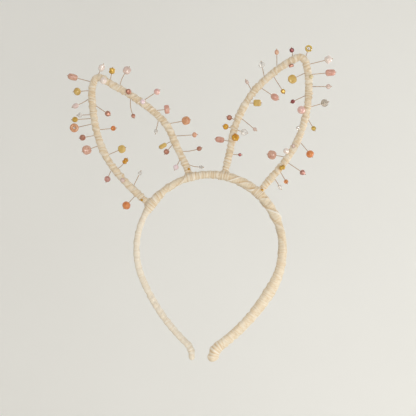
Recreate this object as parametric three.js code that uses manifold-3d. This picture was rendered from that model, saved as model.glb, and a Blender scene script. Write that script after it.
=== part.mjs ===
// A wired animal ears headband: a wound hair band that carries two tall wire ears, each wound with a
// fabric strip and set round with beads on thin twisted stems. Millimetres, +Z up, +X to the right as
// the front is seen, -Y to the front. The origin is on the inner face of the band at its crown, where
// the band sits on a head.
import * as THREE from "three";
import { mergeVertices } from "three/addons/utils/BufferGeometryUtils.js";
import Module from "manifold-3d";

const wasm = await Module();
wasm.setup();

// ---------------------------------------------------------------- driving dimensions

// Half of the band's centre line, from the crown to a tip, as a chain of arcs. The last one flares back.
const BAND_ARCS = [
  { radius: 57.5, length: 44 },
  { radius: 60.5, length: 76 },
  { radius: 151, length: 64 },
  { radius: -13, length: 14.5 },
];
const BAND_HALF = 198.5;
const CORE = { width: 9, thick: 1.8 };
const CORE_ROOM = { width: 9.6, thick: 2.4 };
const WRAP = { width: 12, thick: 5 };
const CROWN_STEPS = 17;
const LIMB_STEPS = 12;
const FLEX_AT = 66;
const FLEX_GAP = 0.4;
const TIP_CURL_AT = 184;
const TIP_STEPS = 4;
const ROOM_PAST = 1;

// How far each limb is rolled about its own length, reached between two distances from the crown.
const ROLL = { from: 68, to: 128, left: -6, right: 32 };

const EAR_WRAP_RADIUS = 3;
const EAR_ROOM_RADIUS = 1.9;
const EAR_WIRE = { radius: 0.6, setForward: 0.65 };
const BEAD_WIRE = { half: 0.3, setBack: 1.0 };
const STEM_HALF = 0.25;
const STEM_HOLE_HALF = 0.62;
const STEM_HOLE_REACH = 6.5;
const STEM_END = 0.9;
const BEAD_HOLE_RADIUS = 0.7;

const GAP = 0.3;
const FOOT_RISE = 8.3;
const FOOT_BALL_RADIUS = 2.95;
const WIRE_END_INSET = 3.6;
const RUN_END_INSET = 4.4;
const TAIL_RADIUS = 0.5;
const BINDING_WALL = 0.95;
const BINDING_HUMP = { height: 5.0, half: 2.0, roomHeight: 4.1, roomHalf: 0.95 };

// The four places where an ear stands on the band, in millimetres along the band from the crown.
const FEET = [
  { name: "left_outer", at: -58.5, length: 8 },
  { name: "left_inner", at: -20, length: 6.5 },
  { name: "right_inner", at: 8, length: 6.5 },
  { name: "right_outer", at: 38.5, length: 8 },
];

// Each ear's centre line between its two feet, from its left foot over the tip to its right foot.
const EARS = {
  left: {
    feet: [0, 1],
    points: [
      [-72, -6.5], [-86.7, 10.2], [-96, 30], [-101, 52], [-102, 66.5], [-97.7, 74.2],
      [-86, 69], [-70, 61.2], [-53.3, 50.8], [-40.5, 39.3], [-32, 24],
    ],
    tip: 113,
  },
  right: {
    feet: [2, 3],
    points: [
      [11.6, 25], [13.1, 38.4], [18, 54], [27, 71], [40.6, 86], [55, 97.5], [63.7, 100.8],
      [68, 94], [70.5, 81], [71, 69], [69.8, 54], [64.8, 35], [56, 17.5],
    ],
    tip: 112,
  },
};
const EAR_STEP = 8.2;
const EAR_TIP_STEP = 3;
const EAR_TIP_REACH = 13;

const COLOURS = {
  cream: 0xf1e4cb,
  core: 0xe9e6df,
  steel: 0xa8a49c,
  copper: 0xb0694a,
  coral: 0xd98a80,
  salmon: 0xe09a88,
  blush: 0xecc7bd,
  pearl: 0xf3e9e2,
  pink: 0xdd9aa0,
  rose: 0xb8616a,
  garnet: 0x8c3b3a,
  mauve: 0xb98c93,
  orange: 0xd9864a,
  amber: 0xc9923a,
  gold: 0xc9a246,
  mustard: 0xcfa63c,
  yellow: 0xe0c25a,
  olive: 0xa89a48,
  peach: 0xe8b79c,
  smoke: 0xb9b2ab,
  clear: 0xe6e2dc,
};

// The beads that stand off on stems. "from" is where the stem leaves the ear, in millimetres along its
// centre line, "at" is the bead's centre seen from the front, and "depth" its place front to back.
const LEFT_BEADS = [
  { name: "salmon_barrel", from: 106, at: [-118, 73], depth: -2, form: "round", size: [5.2, 8], colour: "salmon" },
  { name: "gold_nugget", from: 122, at: [-87, 80], depth: -1.5, form: "round", size: [4.8, 5], colour: "gold" },
  { name: "blush_disc", from: 131, at: [-75.5, 81.5], depth: 3, form: "disc", size: [6.4, 3], colour: "blush" },
  { name: "gold_ball", from: 99.5, at: [-114, 62], depth: 2, form: "round", size: [6.4, 6], colour: "gold" },
  { name: "mauve_oval", from: 95, at: [-114, 50], depth: -4, form: "round", size: [3.6, 5.6], colour: "mauve" },
  { name: "garnet_upper", from: 89, at: [-88, 45.5], depth: -4, form: "round", size: [4.8, 4.6], colour: "garnet" },
  { name: "gold_side", from: 77, at: [-114.5, 39.5], depth: 3, form: "round", size: [4.8, 4.8], colour: "gold" },
  { name: "orange_ring", from: 73, at: [-114, 32.5], depth: -3.5, form: "ring", size: [7.2, 3], colour: "orange" },
  { name: "garnet_side", from: 63.5, at: [-107.5, 25.5], depth: 4, form: "round", size: [5.2, 5], colour: "garnet" },
  { name: "salmon_flat", from: 55, at: [-103, 15.5], depth: -2, form: "disc", size: [7.4, 3.4], colour: "salmon" },
  { name: "orange_inner", from: 67.5, at: [-83.5, 34.5], depth: 4, form: "round", size: [4.4, 4.2], colour: "orange" },
  { name: "mustard_disc", from: 45.5, at: [-75, 18], depth: -4, form: "disc", size: [6.4, 3], colour: "mustard" },
  { name: "amber_lobes", from: 32.5, at: [-72, 9], depth: 3, form: "round", size: [4.4, 5.2], colour: "amber" },
  { name: "pink_glass", from: 35, at: [-85, -6.5], depth: -3, form: "round", size: [5, 5], colour: "pink" },
  { name: "orange_foot", from: 6, at: [-68.5, -26.5], depth: -2.5, form: "round", size: [6.8, 6.4], colour: "orange" },
  { name: "pink_pearl", from: 151.5, at: [-50, 65.5], depth: -4, form: "round", size: [5.2, 5], colour: "pink" },
  { name: "coral_tube", from: 163, at: [-41.5, 52.5], depth: 3, form: "upright", size: [4, 7.2], colour: "coral" },
  { name: "orange_flat", from: 178, at: [-25.5, 44], depth: -3, form: "disc", size: [6.8, 3.4], colour: "orange" },
  { name: "peach_ball", from: 189, at: [-18, 33.5], depth: 3, form: "round", size: [4.4, 4], colour: "peach" },
  { name: "rose_ball", from: 202, at: [-13.5, 22.5], depth: -3, form: "round", size: [4, 4], colour: "rose" },
];
const RIGHT_BEADS = [
  { name: "clear_ball", from: 77, at: [32, 92.5], depth: -3, form: "round", size: [5.4, 5], colour: "clear" },
  { name: "peach_oval", from: 89.5, at: [43.5, 104], depth: 3, form: "round", size: [3.6, 4.4], colour: "peach" },
  { name: "yellow_ring", from: 115.5, at: [68.5, 108], depth: -2, form: "ring", size: [6, 2.8], colour: "yellow" },
  { name: "pearl_ball", from: 119.5, at: [84.5, 100], depth: -4, form: "round", size: [6.4, 6.2], colour: "pearl" },
  { name: "coral_barrel", from: 127.5, at: [87.5, 90.5], depth: 3, form: "round", size: [5.6, 8], colour: "coral" },
  { name: "blush_ball", from: 137, at: [86, 78.5], depth: -4, form: "round", size: [4, 4], colour: "blush" },
  { name: "smoke_ball", from: 154, at: [84, 65.5], depth: -2, form: "round", size: [6.4, 6], colour: "smoke" },
  { name: "olive_ball", from: 160.5, at: [77, 45], depth: 4, form: "round", size: [4, 4], colour: "olive" },
  { name: "orange_ball", from: 180.5, at: [75, 24], depth: -3, form: "round", size: [6.4, 6], colour: "orange" },
  { name: "rose_drop", from: 200.5, at: [70.5, 9], depth: 3, form: "round", size: [4.8, 4.6], colour: "rose" },
  { name: "pink_flat", from: 197, at: [45, 21.5], depth: 3, form: "disc", size: [7.2, 3.4], colour: "pink" },
  { name: "mustard_disc", from: 125, at: [57, 82.5], depth: -4, form: "disc", size: [7.2, 3], colour: "mustard" },
  { name: "gold_ball", from: 84.5, at: [50.5, 73], depth: 3, form: "round", size: [4, 4], colour: "gold" },
  { name: "coral_oval", from: 70, at: [44, 67.5], depth: -3, form: "round", size: [5.6, 7.2], colour: "coral" },
  { name: "garnet_ball", from: 143, at: [59, 65.5], depth: 4, form: "round", size: [3.6, 3.6], colour: "garnet" },
  { name: "mustard_cube", from: 53, at: [30.5, 62], depth: -1.5, form: "cube", size: [5.4, 6], colour: "mustard" },
  { name: "garnet_near", from: 37.5, at: [9, 49], depth: 1.5, form: "round", size: [4.6, 4.4], colour: "garnet" },
  { name: "amber_ball", from: 30.5, at: [6.5, 41.5], depth: -1, form: "round", size: [4.8, 4.6], colour: "amber" },
  { name: "coral_foot", from: 20, at: [2.5, 31], depth: 2, form: "round", size: [4.8, 7.2], colour: "coral" },
  { name: "clear_inner", from: 30, at: [21.5, 38], depth: -2, form: "round", size: [5.6, 5.4], colour: "clear" },
];

// ---------------------------------------------------------------- solids

// A closed geometry as a solid that can be joined and cut.
function solid(geometry) {
  const bare = geometry.index ? geometry.toNonIndexed() : geometry.clone();
  bare.deleteAttribute("normal");
  bare.deleteAttribute("uv");
  const merged = mergeVertices(bare, 1e-4);
  return new wasm.Manifold(new wasm.Mesh({
    numProp: 3,
    vertProperties: merged.getAttribute("position").array,
    triVerts: new Uint32Array(merged.index.array),
  }));
}

// A solid's surface as a geometry again.
function surface(body) {
  const mesh = body.getMesh();
  const geometry = new THREE.BufferGeometry();
  geometry.setAttribute("position", new THREE.BufferAttribute(new Float32Array(mesh.vertProperties), 3));
  geometry.setIndex(new THREE.BufferAttribute(new Uint32Array(mesh.triVerts), 1));
  geometry.computeVertexNormals();
  return geometry;
}

// A straight square bar between two points, carried a little past each end.
function bar(from, to, half, past = 0) {
  const along = to.clone().sub(from).normalize();
  const path = new THREE.LineCurve3(
    from.clone().addScaledVector(along, -past),
    to.clone().addScaledVector(along, past),
  );
  return new THREE.ExtrudeGeometry(outline([[-half, -half], [half, -half], [half, half], [-half, half]]), {
    steps: 1,
    extrudePath: path,
  });
}

function outline(points) {
  return new THREE.Shape(points.map(([x, y]) => new THREE.Vector2(x, y)));
}

function ringPoints(radius, sides, x = 0) {
  return Array.from({ length: sides }, (_, i) => {
    const angle = ((i + 0.5) / sides) * 2 * Math.PI;
    return [x + radius * Math.cos(angle), radius * Math.sin(angle)];
  });
}

// The outline of the wound band: flat inside and outside, with rounded edges.
function bandOutline({ width, thick }) {
  const right = [[width / 3, -thick / 2], [width * 0.46, -thick * 0.3], [width / 2, 0]];
  right.push([width * 0.46, thick * 0.3], [width / 3, thick / 2]);
  return [...right, ...right.map(([x, y]) => [-x, y]).reverse()];
}

function boxOutline({ width, thick }) {
  const [x, y] = [width / 2, thick / 2];
  return [[-x, -y], [x, -y], [x, y], [-x, y]];
}

// An outline with an opening, or without one.
function section(outer, opening) {
  const shape = outline(outer);
  if (opening) shape.holes.push(outline([...opening].reverse()));
  return shape;
}

// A section carried along a line: a straight extrusion whose cross-sections are set on the line one by
// one. The section's x runs along the frame's across, and its y along the frame's outward.
function carry(shape, stations, frameAt) {
  const steps = stations.length - 1;
  const geometry = new THREE.ExtrudeGeometry(shape, { depth: steps, steps, bevelEnabled: false });
  const position = geometry.getAttribute("position");
  const frames = stations.map(frameAt);
  const corner = new THREE.Vector3();
  for (let i = 0; i < position.count; i += 1) {
    corner.fromBufferAttribute(position, i);
    const { point, across, outward } = frames[Math.round(corner.z)];
    const moved = point.clone().addScaledVector(across, corner.x).addScaledVector(outward, corner.y);
    position.setXYZ(i, moved.x, moved.y, moved.z);
  }
  return geometry;
}

function spaced(from, to, steps) {
  return Array.from({ length: steps + 1 }, (_, i) => from + ((to - from) * i) / steps);
}

// ---------------------------------------------------------------- the band's line

const halfStep = (FLEX_AT - FLEX_GAP / 2) / CROWN_STEPS / BAND_ARCS[0].radius;
const APEX_Z = (WRAP.thick / 2) * Math.cos(halfStep) + BAND_ARCS[0].radius * (1 - Math.cos(halfStep));

// The place and heading at a distance from the crown: to the right when positive, else to the left.
// The heading is the angle below level. Each arc adds its length over its radius to it.
function bandFrame(distance) {
  let left = Math.abs(distance);
  let [x, z, heading] = [0, APEX_Z, 0];
  for (const { radius, length } of BAND_ARCS) {
    const run = Math.min(left, length);
    const next = heading + run / radius;
    x += radius * (Math.sin(next) - Math.sin(heading));
    z += radius * (Math.cos(next) - Math.cos(heading));
    heading = next;
    left -= run;
  }
  const side = Math.sign(distance) || 1;
  return {
    point: new THREE.Vector3(side * x, 0, z),
    outward: new THREE.Vector3(side * Math.sin(heading), 0, Math.cos(heading)),
    across: new THREE.Vector3(0, 1, 0),
  };
}

// The band's frame with the limb's roll, which eases in between two distances.
function rolledFrame(distance) {
  const { point, outward, across } = bandFrame(distance);
  const ease = THREE.MathUtils.smoothstep(Math.abs(distance), ROLL.from, ROLL.to);
  const roll = THREE.MathUtils.degToRad(ease * (distance < 0 ? ROLL.left : ROLL.right));
  const [c, s] = [Math.cos(roll), Math.sin(roll)];
  return {
    point,
    across: across.clone().multiplyScalar(c).addScaledVector(outward, s),
    outward: outward.clone().multiplyScalar(c).addScaledVector(across, -s),
  };
}

// A frame's point moved outward.
function raised({ point, outward }, height) {
  return point.clone().addScaledVector(outward, height);
}

// ---------------------------------------------------------------- the band's pieces

const limbStations = [
  ...spaced(FLEX_AT + FLEX_GAP / 2, TIP_CURL_AT, LIMB_STEPS),
  ...spaced(TIP_CURL_AT, BAND_HALF, TIP_STEPS).slice(1),
];
const coreStations = limbStations.slice(0, -1);
const coreEnd = coreStations.at(-1);

function onSide(side, stations) {
  return side === "right" ? stations : stations.map((s) => -s).reverse();
}

const crownStations = spaced(-(FLEX_AT - FLEX_GAP / 2), FLEX_AT - FLEX_GAP / 2, CROWN_STEPS);

function bandCore(stations) {
  return carry(section(boxOutline(CORE)), stations, rolledFrame);
}

// The winding round a stretch of the core: the wound outline, with room for the core cut out of it. The
// room has the same cross-sections as the core, and runs out past each open end.
function bandWrap(stations, roomStations) {
  const wound = carry(section(bandOutline(WRAP)), stations, rolledFrame);
  const room = carry(section(boxOutline(CORE_ROOM)), roomStations, rolledFrame);
  return surface(solid(wound).subtract(solid(room)));
}

// A limb's winding, closed over the end of the core at the tip.
function limbWrap(side) {
  const room = [limbStations[0] - ROOM_PAST, ...coreStations, coreEnd + GAP];
  return bandWrap(onSide(side, limbStations), onSide(side, room));
}

function crownWrap() {
  const room = [crownStations[0] - ROOM_PAST, ...crownStations, crownStations.at(-1) + ROOM_PAST];
  return bandWrap(crownStations, room);
}

// ---------------------------------------------------------------- the feet on the band

// The ear wire's end, bent flat along the band's outer face, with its upright stub.
function footWire({ at, length }) {
  const height = WRAP.thick / 2 + GAP + TAIL_RADIUS;
  const tail = carry(
    outline(ringPoints(TAIL_RADIUS, 6).map(([x, y]) => [x, y + height])),
    spaced(at - length / 2 + GAP, at + length / 2 - GAP, 2),
    bandFrame,
  );
  const frame = bandFrame(at);
  const stub = bar(raised(frame, height), raised(frame, BINDING_HUMP.height), TAIL_RADIUS * 0.8);
  return surface(solid(tail).add(solid(stub)));
}

// The strip wound round the band over the wire's end: a ring with a hump, and a hole for the stub.
function footBinding({ at, length }) {
  const outer = bandOutline(grown(WRAP, GAP + BINDING_WALL));
  const room = bandOutline(grown(WRAP, GAP + 0.1));
  const { height, half, roomHeight, roomHalf } = BINDING_HUMP;
  const roomTop = WRAP.thick / 2 + GAP + 0.1;
  outer.splice(5, 0, [half, height], [-half, height]);
  room.splice(5, 0, [roomHalf, roomTop], [roomHalf, roomHeight], [-roomHalf, roomHeight], [-roomHalf, roomTop]);
  const ring = carry(section(outer, room), spaced(at - length / 2, at + length / 2, 2), bandFrame);
  const frame = bandFrame(at);
  const hole = bar(raised(frame, WRAP.thick / 2 + GAP), raised(frame, FOOT_RISE), TAIL_RADIUS + GAP);
  return surface(solid(ring).subtract(solid(hole)));
}

function grown({ width, thick }, by) {
  return { width: width + 2 * by, thick: thick + 2 * by };
}

// ---------------------------------------------------------------- the ears

// An ear's line: one smooth curve from foot to foot, through its points.
class EarLine {
  constructor({ feet, points, tip }) {
    const ends = feet.map((i) => raised(bandFrame(FEET[i].at), FOOT_RISE));
    const middle = points.map(([x, z]) => new THREE.Vector3(x, 0, z));
    this.curve = new THREE.CatmullRomCurve3([ends[0], ...middle, ends[1]], false, "catmullrom", 0.5);
    this.curve.arcLengthDivisions = 2000;
    this.length = this.curve.getLength();
    this.tip = tip;
    this.ends = ends;
    this.frameAt = this.frameAt.bind(this);
  }

  frameAt(distance) {
    const u = THREE.MathUtils.clamp(distance / this.length, 0, 1);
    const tangent = this.curve.getTangentAt(u);
    return {
      point: this.curve.getPointAt(u),
      across: new THREE.Vector3(0, 1, 0),
      outward: new THREE.Vector3(-tangent.z, 0, tangent.x).normalize(),
    };
  }

  // Distances along the line, close together round the tip.
  stations(inset) {
    const [low, high] = [this.tip - EAR_TIP_REACH, this.tip + EAR_TIP_REACH];
    const rise = spaced(inset, low, Math.round((low - inset) / EAR_STEP));
    const turn = spaced(low, high, Math.round((high - low) / EAR_TIP_STEP));
    const fall = spaced(high, this.length - inset, Math.round((this.length - inset - high) / EAR_STEP));
    return [...rise, ...turn.slice(1), ...fall.slice(1)];
  }
}

function earWire(line) {
  const round = outline(ringPoints(EAR_WIRE.radius, 6, -EAR_WIRE.setForward));
  return carry(round, line.stations(WIRE_END_INSET), line.frameAt);
}

// The ear's winding: a tube with a ball at each foot, and a hole for every stem.
function earWrap(line, beads) {
  const tube = section(ringPoints(EAR_WRAP_RADIUS, 8), ringPoints(EAR_ROOM_RADIUS, 6));
  let body = solid(carry(tube, line.stations(0), line.frameAt));
  for (const end of line.ends) {
    const ball = new THREE.SphereGeometry(FOOT_BALL_RADIUS, 8, 6).translate(end.x, end.y, end.z);
    body = body.add(solid(ball));
  }
  for (const bead of beads) {
    const { root, heading } = stem(line, bead);
    const out = root.clone().addScaledVector(heading, STEM_HOLE_REACH);
    body = body.subtract(solid(bar(root, out, STEM_HOLE_HALF)));
  }
  return surface(body);
}

// A stem's root on the bead wire, its heading, and the points that it passes.
function stem(line, { from, at, depth, form, size }) {
  const root = line.frameAt(from).point.add(new THREE.Vector3(0, BEAD_WIRE.setBack, 0));
  const centre = new THREE.Vector3(at[0], depth, at[1]);
  const clear = size[1] / 2 + STEM_END;
  if (form === "ring") {
    const behind = centre.clone().add(new THREE.Vector3(0, clear, 0));
    const front = centre.clone().add(new THREE.Vector3(0, -clear, 0));
    return { root, centre, heading: behind.clone().sub(root).normalize(), points: [root, behind, front] };
  }
  const heading = centre.clone().sub(root).normalize();
  const reach = (form === "disc" || form === "upright" ? size[0] : size[1]) / 2 + STEM_END;
  return { root, centre, heading, points: [root, centre.clone().addScaledVector(heading, reach)] };
}

// The fine wire that runs inside the winding beside the ear wire, with all its stems.
function beadWire(line, beads) {
  const { half, setBack } = BEAD_WIRE;
  const square = outline(boxOutline({ width: 2 * half, thick: 2 * half }).map(([x, y]) => [x + setBack, y]));
  let body = solid(carry(square, line.stations(RUN_END_INSET), line.frameAt));
  for (const bead of beads) {
    const { points } = stem(line, bead);
    for (let i = 1; i < points.length; i += 1) {
      body = body.add(solid(bar(points[i - 1], points[i], STEM_HALF, i > 1 ? STEM_HALF : 0)));
    }
  }
  return surface(body);
}

// ---------------------------------------------------------------- the beads

// Half the outline of a drilled bead, as a ring of points that closes on itself round its hole.
function drilledProfile(diameter, length) {
  const radius = diameter / 2;
  const mouth = length * 0.48;
  return [[BEAD_HOLE_RADIUS, -mouth], [radius * 0.8, -length * 0.3], [radius, 0]]
    .concat([[radius * 0.8, length * 0.3], [BEAD_HOLE_RADIUS, mouth], [BEAD_HOLE_RADIUS, -mouth]])
    .map(([x, y]) => new THREE.Vector2(x, y));
}

// Half the outline of an undrilled flat or long bead, from its axis and back to it.
function plainProfile(diameter, length) {
  const radius = diameter / 2;
  return [[0, -length / 2], [radius * 0.75, -length / 2], [radius, -length * 0.2]]
    .concat([[radius, length * 0.2], [radius * 0.75, length / 2], [0, length / 2]])
    .map(([x, y]) => new THREE.Vector2(x, y));
}

// Half the outline of a flat ring with a wide hole.
function ringProfile(diameter, thick) {
  const radius = diameter / 2;
  const hole = radius * 0.36;
  return [[hole, -thick * 0.3], [radius * 0.7, -thick / 2], [radius, 0]]
    .concat([[radius * 0.7, thick / 2], [hole, thick * 0.3], [hole, -thick * 0.3]])
    .map(([x, y]) => new THREE.Vector2(x, y));
}

// A bead is turned so that its hole follows its stem. A disc faces the front and an upright tube stands,
// and both are drilled through the side. A ring faces the front and hangs on its stem's hooked end.
function bead(line, piece) {
  const { centre, heading } = stem(line, piece);
  const { form, size } = piece;
  const [diameter, length] = size;
  const segments = diameter > 4.5 ? 8 : 7;
  const alongStem = new THREE.Quaternion().setFromUnitVectors(new THREE.Vector3(0, 1, 0), heading);
  const place = (geometry) => geometry.translate(centre.x, centre.y, centre.z);
  if (form === "round") {
    return place(new THREE.LatheGeometry(drilledProfile(diameter, length), segments).applyQuaternion(alongStem));
  }
  if (form === "ring") return place(new THREE.LatheGeometry(ringProfile(diameter, length), 10));
  const reach = heading.clone().multiplyScalar(diameter);
  const drill = bar(centre.clone().sub(reach), centre.clone().add(reach), BEAD_HOLE_RADIUS * 0.85);
  const blank = blankOf(form, diameter, length, alongStem);
  return surface(solid(place(blank)).subtract(solid(drill)));
}

function blankOf(form, diameter, length, alongStem) {
  if (form === "cube") return new THREE.BoxGeometry(diameter, length, diameter).applyQuaternion(alongStem);
  const blank = new THREE.LatheGeometry(plainProfile(diameter, length), 9);
  return form === "upright" ? blank.rotateX(Math.PI / 2) : blank;
}

// ---------------------------------------------------------------- the assembly

const headband = new THREE.Group();

function addPiece(name, geometry, colour, roughness, metalness = 0) {
  const material = new THREE.MeshStandardMaterial({ color: COLOURS[colour], roughness, metalness });
  const mesh = new THREE.Mesh(geometry, material);
  mesh.name = name;
  headband.add(mesh);
}

addPiece("band_core_crown", bandCore(crownStations), "core", 0.5);
addPiece("band_wrap_crown", crownWrap(), "cream", 0.95);
for (const side of ["left", "right"]) {
  addPiece(`band_core_${side}`, bandCore(onSide(side, coreStations)), "core", 0.5);
  addPiece(`band_wrap_${side}`, limbWrap(side), "cream", 0.95);
}
for (const foot of FEET) {
  addPiece(`foot_wire_${foot.name}`, footWire(foot), "steel", 0.4, 1);
  addPiece(`foot_binding_${foot.name}`, footBinding(foot), "cream", 0.95);
}
for (const [side, beads] of [["left", LEFT_BEADS], ["right", RIGHT_BEADS]]) {
  const line = new EarLine(EARS[side]);
  addPiece(`ear_wire_${side}`, earWire(line), "steel", 0.4, 1);
  addPiece(`ear_wrap_${side}`, earWrap(line, beads), "cream", 0.95);
  addPiece(`bead_wire_${side}`, beadWire(line, beads), "copper", 0.35, 1);
  for (const piece of beads) addPiece(`bead_${side}_${piece.name}`, bead(line, piece), piece.colour, 0.2);
}

export default headband;
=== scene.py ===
"""An animal ears headband, finished: a wound hair band with two wire ears set round with stemmed beads.

Sizes and places are in millimetres, +Z up, +X right as the front is seen and -Y to the front, with the
origin on the band's inner face at its crown. Meshes are worked out in millimetres and written in metres.
"""

import logging
import math
from dataclasses import dataclass, field
from enum import Enum
from typing import Any, Mapping, Optional, Sequence, Union

import bpy
import numpy as np
from mathutils import Matrix, Vector


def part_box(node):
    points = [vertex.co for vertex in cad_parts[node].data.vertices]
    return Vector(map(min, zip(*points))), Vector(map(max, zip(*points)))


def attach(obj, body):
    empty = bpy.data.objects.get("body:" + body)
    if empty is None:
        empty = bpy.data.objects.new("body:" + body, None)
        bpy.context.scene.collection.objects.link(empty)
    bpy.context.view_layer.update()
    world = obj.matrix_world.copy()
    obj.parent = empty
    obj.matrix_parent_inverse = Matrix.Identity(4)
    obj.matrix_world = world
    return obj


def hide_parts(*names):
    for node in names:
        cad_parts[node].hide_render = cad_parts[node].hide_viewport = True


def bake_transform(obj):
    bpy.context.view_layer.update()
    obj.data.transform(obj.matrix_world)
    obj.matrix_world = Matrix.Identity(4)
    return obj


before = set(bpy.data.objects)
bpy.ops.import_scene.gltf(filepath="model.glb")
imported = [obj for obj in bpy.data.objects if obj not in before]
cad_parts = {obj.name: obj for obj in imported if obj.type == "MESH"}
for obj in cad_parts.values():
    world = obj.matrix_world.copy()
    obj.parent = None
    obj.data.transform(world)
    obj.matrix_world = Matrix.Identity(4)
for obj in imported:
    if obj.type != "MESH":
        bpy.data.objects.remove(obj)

Array = np.ndarray
Colour = tuple[float, float, float]

LOG = logging.getLogger("headband")
METRES = 0.001
TURN = 2.0 * math.pi
ACROSS = np.array([0.0, 1.0, 0.0])
RIGHTWARD = np.array([1.0, 0.0, 0.0])
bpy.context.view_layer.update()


# ---------------------------------------------------------------- sums on whole arrays


def smooth(low: float, high: float, at: Array) -> Array:
    """An eased rise from 0 at low to 1 at high.

    Args:
        low: where the rise starts.
        high: where it ends.
        at: the places asked about.

    Returns:
        Three times the square less twice the cube of the share of the way from low to high.
    """
    share = np.clip((at - low) / (high - low), 0.0, 1.0)
    return share * share * (3.0 - 2.0 * share)


def window(start: float, end: float, fade: float, at: Array) -> Array:
    """1 between start and end, eased to 0 over the fade at either side."""
    return smooth(start - fade, start, at) * (1.0 - smooth(end, end + fade, at))


def hump(centre: float, half: float, at: Array) -> Array:
    """A bell of height 1: e to the minus square of the distance from the centre in halves."""
    return np.exp(-(((at - centre) / half) ** 2))


def unit(vectors: Array) -> Array:
    """The same directions with a length of 1."""
    return vectors / np.linalg.norm(vectors, axis=-1, keepdims=True)


def leaning(headings: Array) -> Array:
    """The front-to-back direction, or the rightward one where a heading runs nearly front to back."""
    return np.where(np.abs(headings[..., 1:2]) > 0.9, RIGHTWARD, ACROSS)


def sideways(headings: Array) -> Array:
    """Directions square to some headings, and to the direction that they are leaned on."""
    return unit(np.cross(headings, leaning(headings)))


def ripple(along: Array, round_: Array, wave: float, turns: int, seed: int, terms: int = 9) -> Array:
    """Uneven waves that meet themselves once round a piece.

    Args:
        along: distance along the piece.
        round_: share of the way round it, where 0 and 1 are the same line.
        wave: the usual distance between crests along the piece.
        turns: the most crests met on the way round.
        seed: fixes the waves.
        terms: how many cosines are added.

    Returns:
        A sum of cosines, each with its own wave length near wave, its own whole number of crests round
        the piece and its own start, scaled so that its usual size is about 0.7.
    """
    draw = np.random.default_rng(seed)
    total = np.zeros(np.broadcast(along, round_).shape)
    for _ in range(terms):
        pace = draw.uniform(0.5, 1.6) / wave
        crests = int(draw.integers(-turns, turns + 1))
        total = total + np.cos(TURN * (pace * along + crests * round_ + draw.uniform()))
    return total / math.sqrt(terms)


def resample(points: Array, at: Array) -> Array:
    """Points at given distances along a fine line of points, straight between its neighbours."""
    steps = np.linalg.norm(np.diff(points, axis=0), axis=1)
    reach = np.concatenate([[0.0], np.cumsum(steps)])
    return np.stack([np.interp(at, reach, points[:, i]) for i in range(3)], axis=1)


def signed_power(values: Array, power: float) -> Array:
    """Each value raised to a power, with its sign kept: below 1 it makes a round section squarer."""
    return np.sign(values) * np.abs(values) ** power


def carried(frames: Sequence[Array], x: Array, y: Array) -> Array:
    """A grid of places: each ring's middle, plus x times its way across and y times its way outward."""
    point, across, outward = (part[:, None, :] for part in frames)
    return point + x[..., None] * across + y[..., None] * outward


def smoothed(points: Array, reach: int) -> Array:
    """A line of points, each the mean of its neighbours within reach, weighted by a raised cosine."""
    weights = np.hanning(2 * reach + 3)[1:-1]
    ends = np.repeat(points[:1], reach, axis=0), np.repeat(points[-1:], reach, axis=0)
    padded = np.vstack([ends[0], points, ends[1]])
    return np.stack([np.convolve(padded[:, i], weights / weights.sum(), "valid") for i in range(3)], axis=1)


def line_length(points: Array) -> float:
    """The length of a line of points."""
    return float(np.linalg.norm(np.diff(points, axis=0), axis=1).sum())


def spline(knots: Array, per_span: int = 60) -> Array:
    """A uniform Catmull-Rom curve through its knots.

    Args:
        knots: the points that the curve passes, one row each.
        per_span: steps between two knots.

    Returns:
        Points on the curve. Between two knots the cubic leaves along half the chord of their neighbours,
        and past each end a neighbour is supplied by mirroring the next knot through the end.
    """
    ring = np.vstack([2 * knots[0] - knots[1], knots, 2 * knots[-1] - knots[-2]])
    share = np.linspace(0.0, 1.0, per_span, endpoint=False)[:, None]
    spans = []
    for a, b, c, d in zip(ring, ring[1:], ring[2:], ring[3:]):
        square = (2 * a - 5 * b + 4 * c - d) * share**2
        cube = (3 * b - a - 3 * c + d) * share**3
        spans.append(0.5 * (2 * b + (c - a) * share + square + cube))
    return np.vstack([*spans, knots[-1:]])


# ---------------------------------------------------------------- meshes


@dataclass
class Skin:
    """A grid of points that becomes a closed mesh.

    Rows run along the piece and columns round it. Every grid closes on itself round the piece. Along the
    piece it either closes on itself too, as on a ring or a drilled bead, or ends in two caps.
    """

    points: Array
    looped: bool = False
    marks: dict[str, Array] = field(default_factory=dict)
    length: float = 1.0
    girth: float = 1.0


def put(name: str, data: bpy.types.ID) -> bpy.types.Object:
    """Makes an object of some data and puts it in the scene."""
    made = bpy.data.objects.new(name, data)
    bpy.context.scene.collection.objects.link(made)
    return made


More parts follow.
